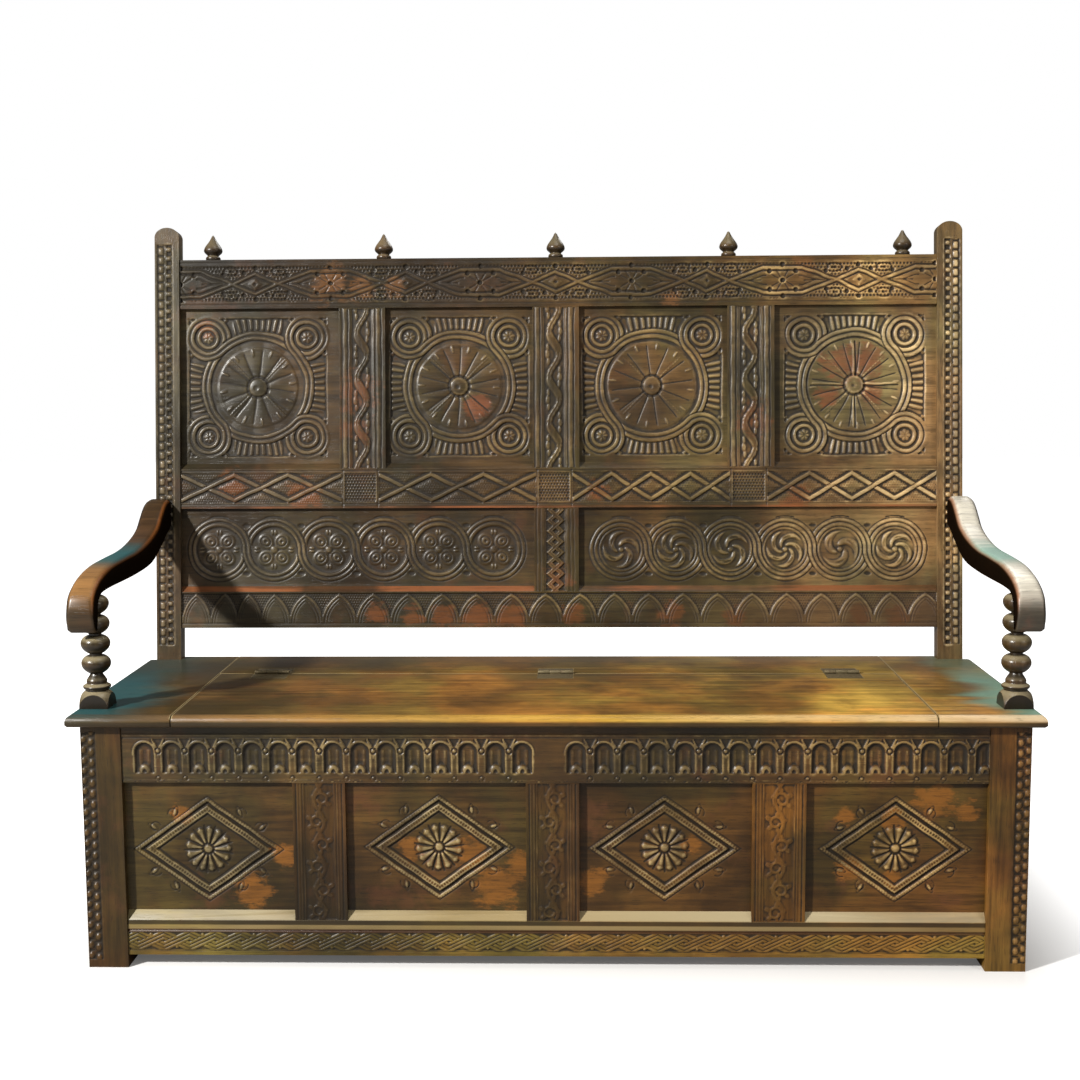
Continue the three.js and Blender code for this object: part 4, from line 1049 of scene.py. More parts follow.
class Oak:
    """Waxed oak as a material that is built up layer by layer: grain, a tint that is partly painted light and shade,
    patches, wear and dirt.
    """

    def __init__(self, name, run, mid, tints, shades):
        self.material, self.tree, self.shader = new_material(name)
        tree, self.mid, self.dark = self.tree, mid, shades["oak_dark"]
        lookup = tree.nodes.new("ShaderNodeTexCoord").outputs
        self.place = lookup["Object"]
        self.x, self.y, self.z = split(self.place)
        self.facing_x, self.facing_y, self.facing_z = split(lookup["Normal"])
        turn = (0, math.pi / 2 if run == "z" else 0, 0)
        turned = add_node(tree, "ShaderNodeMapping", in_Vector=self.place, in_Rotation=turn).outputs[0]
        groups = bpy.data.node_groups
        grain = add_node(tree, "ShaderNodeGroup", node_tree=groups["Oak grain"], in_0=turned)
        relief, self.arris = self.attribute("relief"), self.attribute("arris")
        age = add_node(
            tree, "ShaderNodeGroup", node_tree=groups["Age"], in_0=self.place, in_1=relief, in_2=self.arris
        )
        self.figure, self.streak, self.pores = map(Field, grain.outputs)
        self.dirt, self.rub, self.cloud, self.patch = map(Field, age.outputs)
        deep, pale = [c * 0.55 for c in mid], [min(1, c * 1.5) for c in mid]
        self.tone = blend_colour(tree, self.streak.rise(0.3, 0.7), deep, pale)
        self.layer(self.figure.rise(0.35, 0.7, 0.0, 0.55), mid)
        drift = add_node(
            tree, "ShaderNodeTexNoise", in_Vector=self.place, in_Scale=4.2, in_Detail=4.0, in_Roughness=0.6
        )
        red, green, _ = add_node(tree, "ShaderNodeSeparateColor", in_0=drift.outputs["Color"]).outputs
        hue = blend_colour(tree, Field(red).rise(0.40, 0.60), (0.82, 0.96, 0.76), (1.13, 0.90, 0.68))
        self.tone = blend_colour(tree, 0.8, self.tone, hue, "MULTIPLY")
        shade = blend_colour(tree, Field(green).rise(0.38, 0.62), (0.62, 0.62, 0.64), (1.45, 1.42, 1.38))
        # the tint along the settle is partly painted light and shade, times a random change of value
        self.tint = blend_colour(tree, 1.0, along(self.x, tints), shade, "MULTIPLY")
        self.tone = blend_colour(tree, 1.0, self.tone, self.tint, "MULTIPLY")

    def attribute(self, name):
        return Field(add_node(self.tree, "ShaderNodeAttribute", attribute_name=name).outputs["Fac"])

    def forward(self):
        """A mask of the faces that look out of the front."""
        return self.facing_y.fall(-0.2, 0.2)

    def layer(self, share, colour, strength=1.0):
        """Lays a colour over the tone where a mask is set."""
        if strength != 1.0:
            share = share * strength
        self.tone = blend_colour(self.tree, share, self.tone, colour)

    def mottle(self, amount=0.45, dark=None):
        """Old wax in large uneven clouds."""
        self.layer(self.cloud.rise(0.36, 0.62, amount, 0.0), dark or self.dark)

    def fill_pores(self, amount=0.5):
        """Dark specks along the grain."""
        self.layer(self.pores.rise(0.60, 0.68, 0.0, amount), self.dark)

    def age(self, worn, rub, dirt=0.92):
        """Rubs the ridges and arrises, and leaves dirt in the cuts and pores."""
        rubbed = blend_colour(self.tree, self.streak.rise(0.35, 0.7, 0.4, 0.0), worn, self.mid)
        self.layer(self.rub, blend_colour(self.tree, 1.0, rubbed, self.tint, "MULTIPLY"), rub)
        self.layer(self.dirt, self.dark, dirt)
        self.fill_pores()

    def done(self, gloss, specular=0.35, coat=0.0):
        """Sets colour, gloss and grain bump on the shader."""
        rough = self.cloud.rise(0.3, 0.7, gloss, gloss + 0.12) + self.dirt * 0.3
        height = self.streak * 0.5 + self.pores.rise(0.58, 0.68, 0.0, -1.0) * 0.35
        bump = add_node(self.tree, "ShaderNodeBump", in_Strength=0.35, in_Distance=0.0008, in_Height=height)
        values = {
            "Base Color": self.tone,
            "Roughness": rough.maths("SUBTRACT", rough, self.rub * 0.05, clamp=True),
            "Normal": bump.outputs[0],
            "Specular IOR Level": specular,
            "Coat Weight": coat,
            "Coat Roughness": 0.25,
        }
        set_inputs(self.shader, values)


def carved_oak(name, run, mid, shades, tints, patches, spots=(), hot=(0.27, 0.100, 0.014), rub=0.55, worn=None):
    """The finish of the carved pieces: dark wax, rubbed ridges, warm patches where the wax is gone."""
    oak = Oak(name, run, mid, tints, shades)
    oak.layer(oak.patch, shades["oak_red"], patches)
    oak.mottle()
    if spots:
        mask = patch_mask(oak.place, spots) * oak.streak.rise(0.32, 0.6, 0.55, 1.0)
        oak.layer(mask * oak.forward(), hot, 0.8)
    oak.age(worn or shades["oak_worn"], rub)
    return oak


def back_rail_oak(shades):
    """Back rails, with orange wear along the lower edge of the middle rail and in the arches of the bottom one."""
    spots = tuple((x, ARCH_Z, radius) for x, radius in ARCH_SPOTS) + MID_RAIL_SPOTS
    oak = carved_oak("Oak rail", "x", shades["oak_mid"], shades, BACK_TONE_AND_LIGHT, 0.3, spots, (0.17, 0.055, 0.014))
    oak.layer(oak.z.fall(0.60, 0.66) * oak.x.rise(0.1, 0.6), (0.060, 0.034, 0.018), 0.6)
    for z, half in ((0.6355, 0.0045), (0.8105, 0.0030)):
        line = abs(oak.z - z).fall(half, half + 0.0015)
        broken = oak.cloud.rise(0.40, 0.55, 0.15, 0.8) * oak.streak.rise(0.35, 0.55, 0.4, 1.0) * oak.forward()
        oak.layer(line * broken, (0.27, 0.085, 0.026))
    oak.done(0.36, 0.4)


def sill_oak(shades):
    """The bottom rail of the front: carved below its groove, pale and rubbed on the strip with a painted highlight on
    it, painted shade in the grooves either side of the strip, and a painted highlight on the sill above.
    """
    oak = carved_oak("Oak sill", "x", (0.175, 0.120, 0.034), shades, FRONT_TONE_AND_LIGHT, 0.3)
    uneven = oak.figure.rise(0.35, 0.65, 0.45, 1.0)
    # the strip between the grooves: pale, partly wear and partly a painted highlight
    oak.layer(oak.z.within(0.0725, 0.0745, 0.0815, 0.0840) * uneven, (0.30, 0.215, 0.095), 0.9)
    # painted shade in the groove below the strip
    oak.layer(oak.z.within(0.066, 0.069, 0.0730, 0.0760), (0.045, 0.016, 0.007), 0.85)
    # painted shadow under the sill's slope, above the strip
    oak.layer(oak.z.within(0.0815, 0.0840, 0.0900, 0.0920), (0.030, 0.020, 0.010), 0.8)
    # painted highlight on the sill's upward bevel
    slope = oak.z.rise(0.0895, 0.0935) * oak.facing_z.rise(0.15, 0.45)
    oak.layer(slope * uneven, along(oak.x, SILL_HIGHLIGHT))
    oak.done(0.33)


def arm_oak(shades):
    """Arms: painted shade on their sides, rubbed pale where hands lie with a painted sheen over it, and a painted teal
    reflection on the slopes.
    """
    tints = ((-0.85, (1.0, 1.0, 1.0)), (0.85, (1.0, 0.98, 0.95)))
    oak = Oak("Oak arm", "x", (0.042, 0.024, 0.012), tints, shades)
    oak.layer(oak.patch, (0.16, 0.045, 0.018), 0.55)
    oak.mottle(0.5)
    crown = abs(oak.facing_x).fall(0.45, 0.85)
    # painted shade: the sides of the arms are darkened nearly to black
    oak.layer(1.0 - crown, (0.006, 0.0035, 0.002), 0.96)
    # wear where hands lie, carrying a painted sheen that is near white on the right arm and fades down the nose
    hand = crown * oak.z.rise(0.668, 0.725, 0.06, 1.0) * oak.streak.rise(0.36, 0.62, 0.70, 1.0)
    near = oak.y.fall(-0.22, -0.05, 1.0, 0.1).max(oak.x.rise(0.0, 0.1, 0.0, 0.85))
    oak.layer(hand * near, along(oak.x, ((-0.7, (0.33, 0.165, 0.055)), (0.7, (0.86, 0.81, 0.68)))))
    inner = abs(oak.facing_x).within(0.30, 0.62, 0.62, 0.90) * abs(oak.x).fall(0.845, 0.855)
    oak.layer(inner * oak.z.rise(0.66, 0.70), (0.36, 0.115, 0.022), 0.6)
    # painted teal reflection on the slopes of the arms' tops
    wander = oak.y + (oak.streak - 0.5) * 0.10
    painted_teal_reflection = wander.within(-0.22, -0.12, -0.03, 0.09) * (crown * oak.facing_z.rise(0.2, 0.6))
    oak.layer(painted_teal_reflection, along(oak.x, ((-0.7, (0.006, 0.125, 0.140)), (0.7, (0.22, 0.46, 0.38)))), 0.8)
    oak.fill_pores()
    oak.done(0.30, crown * 0.4)


def turned_oak(shades):
    """Turned pieces: a painted highlight on what faces up, and painted shade on what faces down, in the necks and on
    the block where they stand on the seat.
    """
    tints = ((-0.85, (1.0, 1.0, 1.0)), (0.85, (1.05, 1.02, 1.0)))
    oak = Oak("Oak turned", "z", (0.060, 0.040, 0.020), tints, shades)
    oak.mottle(0.3)
    # painted highlight on what faces up, weaker on the finials high up
    oak.layer(oak.facing_z.rise(0.15, 0.85) * oak.z.fall(0.7, 1.2, 1.0, 0.45), (0.42, 0.35, 0.21), 0.6)
    # painted shade on what faces down
    oak.layer(oak.facing_z.fall(-0.45, 0.15), oak.dark, 0.75)
    # painted shade in the necks between the bobbins
    reach = (abs(oak.x) - SUPPORT_X).hypot(oak.y - SUPPORT_Y)
    oak.layer(reach.fall(0.014, 0.020, 0.85, 0.0), oak.dark)
    # painted shade on the upright faces of the block and the bell's foot, where they stand on the seat
    block = oak.z.fall(SEAT_TOP + 0.036, SEAT_TOP + 0.042) * oak.facing_z.fall(0.05, 0.2)
    oak.layer(block, (0.010, 0.007, 0.004), 0.85)
    oak.fill_pores(0.4)
    oak.done(0.26, 0.45, 0.1)


def seat_oak(shades):
    """The polished seat: golden, with painted light that leaves it dark to the left and bright to the right, a painted
    highlight over the wear along the nosing, painted shade under the nosing, and a painted teal reflection at both
    ends.
    """
    oak = Oak("Oak seat", "x", shades["seat_gold"], SEAT_TONE_AND_LIGHT, shades)
    oak.layer(oak.patch, (0.13, 0.045, 0.012), 0.45)
    oak.mottle(0.6, (0.045, 0.028, 0.010))
    oak.layer(oak.y.rise(-0.05, 0.22, 0.0, 0.5), (0.060, 0.044, 0.020))
    # painted teal reflection on the top at both ends, weaker towards the back
    wander = oak.x + (oak.figure - 0.5) * 0.22
    ends = wander.fall(-0.83, -0.715).max(wander.rise(0.765, 0.84)) * oak.facing_z.rise(0.5, 0.9)
    painted_teal_reflection = along(oak.x, ((-0.7, (0.006, 0.095, 0.110)), (0.7, (0.20, 0.43, 0.33))))
    oak.layer(ends * oak.y.fall(-0.05, 0.12, 1.0, 0.4), painted_teal_reflection, 0.74)
    lip = oak.y.fall(-0.326, -0.319)
    # painted shade on the underside of the nosing
    oak.layer(lip * oak.facing_z.fall(0.0, 0.30), (0.030, 0.020, 0.010), 0.85)
    # the nosing's wear under a painted highlight on its upper curve
    nosing = lip * oak.facing_z.rise(0.05, 0.40) * oak.streak.rise(0.35, 0.6, 0.6, 1.0)
    oak.layer(nosing, along(oak.x, NOSING_SHEEN_AND_WEAR), 0.9)
    # pale lines at the joints between the lid, the end boards and the rear board: worn arrises with a painted highlight
    past_end, past_rear = abs(oak.x) - LID_END, oak.y - LID_REAR
    across, behind = abs(past_end).max(past_rear), abs(past_rear).max(past_end)
    joint = across.fall(0.0020, 0.0036).max(behind.fall(0.0014, 0.0026, 0.8, 0.0)) * oak.facing_z.rise(0.3, 0.6)
    edge = oak.arris * oak.y.rise(-0.315, -0.30)
    oak.layer(joint.max(edge), (0.34, 0.26, 0.13), 0.8)
    oak.layer(oak.facing_z.fall(-0.7, -0.3), (0.075, 0.048, 0.022), 0.88)
    oak.layer(oak.dirt, oak.dark, 0.7)
    oak.fill_pores(0.4)
    oak.done(0.30, 0.3)


def hinge_iron(colour):
    """Rubbed iron with spots of rust."""
    _, tree, shader = new_material("Hinge iron")
    rust = noise(tree.nodes.new("ShaderNodeTexCoord").outputs["Object"], 160.0, 5.0, 0.7)
    bump = add_node(tree, "ShaderNodeBump", in_Strength=0.3, in_Distance=0.0006, in_Height=rust)
    values = {
        "Base Color": blend_colour(tree, rust.rise(0.5, 0.7), colour, (0.10, 0.055, 0.028)),
        "Metallic": rust.rise(0.5, 0.66, 0.55, 0.2),
        "Roughness": rust.rise(0.4, 0.6, 0.42, 0.6),
        "Normal": bump.outputs[0],
    }
    set_inputs(shader, values)


def finishes():
    """All materials by name; the first call makes them."""
    if "Oak grain" not in bpy.data.node_groups:
        grain_group()
        age_group()
        colours = bpy.context.scene.settle_colours
        shades = {key: tuple(getattr(colours, key)) for key in SettleColours.__annotations__}
        mid, rail_worn, panel_worn = shades["oak_mid"], (0.31, 0.245, 0.14), (0.38, 0.31, 0.19)
        carved_oak("Oak upright", "z", mid, shades, BACK_TONE_AND_LIGHT, 0.3, STRAND_SPOTS, (0.15, 0.055, 0.02)).done(0.34, 0.4)
        disc = carved_oak("Oak back panel", "x", mid, shades, BACK_TONE_AND_LIGHT, 0.3, DISC_SPOTS, (0.20, 0.062, 0.022))
        disc.done(0.33, 0.45)
        carved_oak("Oak top rail", "x", mid, shades, TOP_TONE_AND_LIGHT, 0.3, EYE_SPOTS, (0.17, 0.072, 0.022)).done(0.36)
        tone = (0.066, 0.043, 0.018)
        carved_oak("Oak front rail", "x", tone, shades, FRONT_TONE_AND_LIGHT, 0.4, rub=0.8, worn=rail_worn).done(0.36, 0.4)
        tone = (0.070, 0.044, 0.016)
        carved_oak("Oak front upright", "z", tone, shades, UPRIGHT_TONE_AND_LIGHT, 0.3, rub=0.4).done(0.38)
        tone = (0.072, 0.044, 0.015)
        wear = {"rub": 0.85, "worn": panel_worn}
        carved_oak("Oak front panel", "x", tone, shades, FRONT_TONE_AND_LIGHT, 0.5, PANEL_SPOTS, **wear).done(0.38)
        carved_oak("Oak plain", "x", (0.055, 0.034, 0.015), shades, FRONT_TONE_AND_LIGHT, 0.15).done(0.5, 0.3)
        for finish in (back_rail_oak, sill_oak, arm_oak, turned_oak, seat_oak):
            finish(shades)
        hinge_iron(shades["iron"])
    return bpy.data.materials


# ---------------------------------------------------------------- operators


class SETTLE_OT_stage(bpy.types.Operator):
    """Sets the camera, the pale floor, the lamps and the white surroundings"""

    bl_idname = "settle.stage"
    bl_label = "Studio"

    def execute(self, context):
        scene = context.scene
        scene.view_settings.view_transform = "Standard"
        self.camera(scene)
        self.floor()
        self.surroundings(scene)
        lamps = (
            ("key_lamp", (-4.3, -3.8, 3.5), (0.0, 0.0, 0.6), 0.42, 560, (1.0, 0.98, 0.94)),
            ("fill_lamp", (3.0, -2.6, 2.0), (0.2, 0.0, 0.6), 1.6, 26, (1.0, 0.94, 0.86)),
            ("top_lamp", (0.3, -0.6, 3.4), (0.1, 0.1, 0.5), 1.6, 18, (1.0, 0.98, 0.95)),
            ("rear_lamp", (1.2, 2.8, 3.6), (0.0, 0.2, 0.7), 1.8, 50, (1.0, 0.98, 0.95)),
        )
        for name, place, aim, size, power, colour in lamps:
            lamp = bpy.data.lights.new(name, "AREA")
            lamp.shape, lamp.size, lamp.energy, lamp.color = "DISK", size, power, colour
            holder = bpy.data.objects.new(name, lamp)
            holder.location = place
            holder.rotation_euler = (Vector(aim) - Vector(place)).to_track_quat("-Z", "Y").to_euler()
            scene.collection.objects.link(holder)
        return {"FINISHED"}

    def camera(self, scene):
        """The photo's viewpoint, as fitted to measured points of it: place, lens, and pitch, yaw and roll."""
        pitch, yaw, roll = 0.1136, 0.0284, -0.0062
        sy, cy, sp, cp = math.sin(yaw), math.cos(yaw), math.sin(pitch), math.cos(pitch)
        right, up = Vector((cy, sy, 0)), Vector((-sy * sp, cy * sp, cp))
        ahead = Vector((-sy * cp, cy * cp, -sp))
        sr, cr = math.sin(roll), math.cos(roll)
        turn = Matrix((right * cr + up * sr, up * cr - right * sr, -ahead)).transposed().to_4x4()
        data = bpy.data.cameras.new("photo_camera")
        data.lens, data.sensor_width, data.clip_end = 51.148, 36.0, 60.0
        camera = bpy.data.objects.new("photo_camera", data)
        camera.matrix_world = Matrix.Translation((0.05799, -3.05304, 1.11571)) @ turn
        scene.collection.objects.link(camera)
        scene.camera = camera

    def floor(self):
        """A white floor that darkens only in the settle's shadow, close to its feet."""
        floor = start_from(bpy.ops.mesh.primitive_plane_add, size=30)
        floor.name = "floor"
        material, tree, shader = new_material("Studio floor")
        seen = tree.nodes.new("ShaderNodeLightPath").outputs["Is Camera Ray"]
        x, y, _ = split(tree.nodes.new("ShaderNodeTexCoord").outputs["Object"])
        away = (abs(x) - 0.84).max(0.0).hypot((abs(y) - 0.30).max(0.0))
        values = {
            "Base Color": blend_colour(tree, seen, (0.45, 0.45, 0.45), (0.92, 0.92, 0.92)),
            "Roughness": 0.9,
            "Specular IOR Level": 0.0,
            "Emission Color": (1, 1, 1),
            "Emission Strength": Field(seen) * away.rise(0.0, 0.40, 0.10, 1.0),
        }
        set_inputs(shader, values)
        floor.data.materials.append(material)

    def surroundings(self, scene):
        """White to the camera, and soft light for everything else."""
        world = bpy.data.worlds.new("Studio")
        scene.world = world
        world.use_nodes = True
        tree = world.node_tree
        soft = tree.nodes["Background"]
        plug((1.0, 0.98, 0.95), soft.inputs[0])
        plug(0.14, soft.inputs[1])
        white = add_node(tree, "ShaderNodeBackground", in_0=(1, 1, 1), in_1=1.0)
        rays = tree.nodes.new("ShaderNodeLightPath").outputs
        seen = Field(rays["Is Camera Ray"]).max(rays["Is Transmission Ray"])
        mix = add_node(tree, "ShaderNodeMixShader", in_0=seen, in_1=soft.outputs[0], in_2=white.outputs[0])
        plug(mix.outputs[0], tree.nodes["World Output"].inputs[0])


class SETTLE_OT_back_rails(bpy.types.Operator):
    """Carves the three back rails and the back muntins"""

    bl_idname = "settle.back_rails"
    bl_label = "Back rails and muntins"

    def execute(self, context):
        coats = finishes()
        carve("back_top_rail", BACK, top_rail, coats["Oak top rail"])
        carve("back_mid_rail", BACK, mid_rail, coats["Oak rail"], rows=(327, 412))
        carve("back_bottom_rail", BACK, bottom_rail, coats["Oak rail"], rows=(68, 145))
        for number, cu, phase in ((1, -420, 0.576), (2, -4, 0.576), (3, 417, 0.63)):
            relief = leaf_strand(cu, 21.5, 10.5, 98.5, phase)
            carve(f"back_upper_muntin_{number}", BACK, relief, coats["Oak upright"])
        carve("back_lower_muntin", BACK, lower_muntin, coats["Oak upright"])
        return {"FINISHED"}


class SETTLE_OT_back_panels(bpy.types.Operator):
    """Carves the four rosette panels and the two ringed panels of the back"""

    bl_idname = "settle.back_panels"
    bl_label = "Back panels"

    def execute(self, context):
        coat = finishes()["Oak back panel"]
        upper = (
            (-648.5, 590, 12, 82, (-818, -464)),
            (-209.6, 590, 14, 87, (-374, -46)),
            (207.0, 590, 12, 90, (46, 372)),
            (642.2, 589, 16, 95, (465, 818)),
        )
        for number, (cu, cv, petals, disc, span) in enumerate(upper, 1):
            relief = upper_panel(cu, cv, petals, disc, number, cross=number == 4)
            carve(f"back_upper_panel_{number}", BACK, relief, coat, window=(*span, 418, 764))
        for side, relief, span in (
            ("left", lower_panel(-735, 119.9, 237, False, 31), (-818, -44)),
            ("right", lower_panel(139.9, 117.7, 235, True, 32), (44, 818)),
        ):
            carve(f"back_lower_panel_{side}", BACK, relief, coat, window=(*span, 152, 331))
        return {"FINISHED"}


class SETTLE_OT_box_front(bpy.types.Operator):
    """Carves the frieze, the front muntins, the lozenge panels and the bottom rail"""

    bl_idname = "settle.box_front"
    bl_label = "Box front"

    def execute(self, context):
        coats = finishes()
        carve("frieze_rail", FRONT, frieze, coats["Oak front rail"], sunk=5.0, arris=0)
        for number, cu in ((1, -431), (2, 0), (3, 415)):
            carve(f"front_muntin_{number}", FRONT, front_muntin(cu), coats["Oak front upright"])
        panels = (
            (-641.6, 223.5, (-806, -480)),
            (-210.8, 228.2, (-384, -46)),
            (206.3, 227.4, (46, 372)),
            (629.7, 226.8, (460, 806)),
        )
        for number, (cu, cv, span) in enumerate(panels, 1):
            relief = front_panel(cu, cv, number)
            carve(f"front_panel_{number}", FRONT, relief, coats["Oak front panel"], window=(*span, 100, 356))
        carve("front_bottom_rail", FRONT, front_bottom_rail, coats["Oak sill"], rows=(20, 70), step=1.25 * MM)
        return {"FINISHED"}


class SETTLE_OT_posts(bpy.types.Operator):
    """Cuts the beaded strips of the four posts"""

    bl_idname = "settle.posts"
    bl_label = "Posts"

    def execute(self, context):
        coats = finishes()
        for side, sign in SIDES:
            relief = beaded([sign * 864.0, sign * 849.6], 19.6, 14, 452, sorted((sign * 842, sign * 868)))
            carve(f"front_post_{side}", FRONT, relief, coats["Oak front upright"])
            strip, span = (sorted(sign * edge for edge in edges) for edges in ((831, 863), (817.5, 867.5)))
            relief = beaded([sign * 855.2, sign * 838.4], 19.2, 30, 900, strip, square=True)
            carve(f"back_post_{side}", BACK, relief, coats["Oak upright"], window=(*span, 6, 905))
        return {"FINISHED"}


class SETTLE_OT_box_ends(bpy.types.Operator):
    """Softens the plain rails and panels of the box ends, rear, floor and seat bearers"""

    bl_idname = "settle.box_ends"
    bl_label = "Box ends and rear"

    def execute(self, context):
        coat = finishes()["Oak plain"]
        names = [f"side_{side}_{piece}" for side, _ in SIDES for piece in ("top_rail", "bottom_rail", "panel")]
        names += ["rear_top_rail", "rear_bottom_rail", "rear_panel"]
        names += ["seat_bearer_left", "seat_bearer_right", "chest_floor_board"]
        for name in names:
            plain(name, coat)
        for side, _ in SIDES:
            plain(f"lid_batten_{side}", coat, body="lid")
        return {"FINISHED"}


class SETTLE_OT_seat(bpy.types.Operator):
    """Waxes the seat boards and lets in the patch of the lid"""

    bl_idname = "settle.seat"
    bl_label = "Seat"

    def execute(self, context):
        coat, arris = finishes()["Oak seat"], 2.0 * MM
        size = {"window": (-690, 690, 13, 332), "step": 4 * MM, "arris": arris}
        carve("seat_lid", SEAT, worn_top, coat, slot="oak_seat", body="lid", **size)
        for name in ("seat_end_board_left", "seat_end_board_right", "seat_rear_board"):
            plain(name, coat, arris=arris)
        return {"FINISHED"}


# The arm's side view, as shares of its reach from its front to the post and of its rise above its foot.
ARM_TOP = (
    (0.96, 1.025), (0.92, 0.972), (0.874, 0.879), (0.817, 0.768), (0.7, 0.674), (0.553, 0.617), (0.388, 0.6),
    (0.231, 0.577), (0.121, 0.518), (0.057, 0.446), (0.02, 0.368), (0.006, 0.285), (0, 0.192), (0.003, 0.109),
    (0.013, 0.047), (0.028, 0),
)
ARM_UNDER = (
    (0.042, 0.052), (0.05, 0.124), (0.053, 0.223), (0.072, 0.306), (0.101, 0.342), (0.145, 0.356), (0.222, 0.364),
    (0.369, 0.366), (0.509, 0.372), (0.663, 0.395), (0.755, 0.442), (0.858, 0.555), (0.939, 0.664),
)


def start_from(primitive, **size):
    """The active object of a primitive added by bpy.ops with nothing else selected."""
    bpy.ops.object.select_all(action="DESELECT")
    primitive(**size)
    return bpy.context.object


def curve_through(points, steps):
    """Points along a smooth curve through the given ones."""
    ends, run = [points[0], *points, points[-1]], []

    def between(p, q, r, s, t):
        return 0.5 * (2 * q + (r - p) * t + (2 * p - 5 * q + 4 * r - s) * t * t + (3 * q - p - 3 * r + s) * t**3)

    for span in zip(ends, ends[1:], ends[2:], ends[3:]):
        run += [tuple(between(*axis, step / steps) for axis in zip(*span)) for step in range(steps)]
    return [*run, points[-1]]


def arm_outline():
    """The arm's side view as (depth, height, edge rounding share) in metres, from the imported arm's own sizes."""
    least, hand_height, fade = 0.4, 0.02, 0.07

    def post_face(height):
        return POST_FACE + (height - SEAT_TOP) * math.tan(RAKE) - GAP

    def place(share):
        return ARM_FRONT + share[0] * reach, ARM_FOOT + share[1] * ARM_RISE

    def rounding(height):
        return min(1.0, max(least, least + (height - ARM_FOOT - hand_height) / fade * (1 - least)))

    reach = post_face(ARM_FOOT + ARM_RISE) - ARM_FRONT
    crest, heel = ARM_FOOT + 1.04 * ARM_RISE, ARM_FOOT + 0.718 * ARM_RISE
    upper = curve_through([(post_face(crest), crest), *map(place, ARM_TOP)], 4)
    under = curve_through([upper[-1], *map(place, ARM_UNDER), (post_face(heel), heel)], 4)
    return [(y, z, rounding(z)) for y, z in upper[:-1]] + [(y, z, least) for y, z in under]


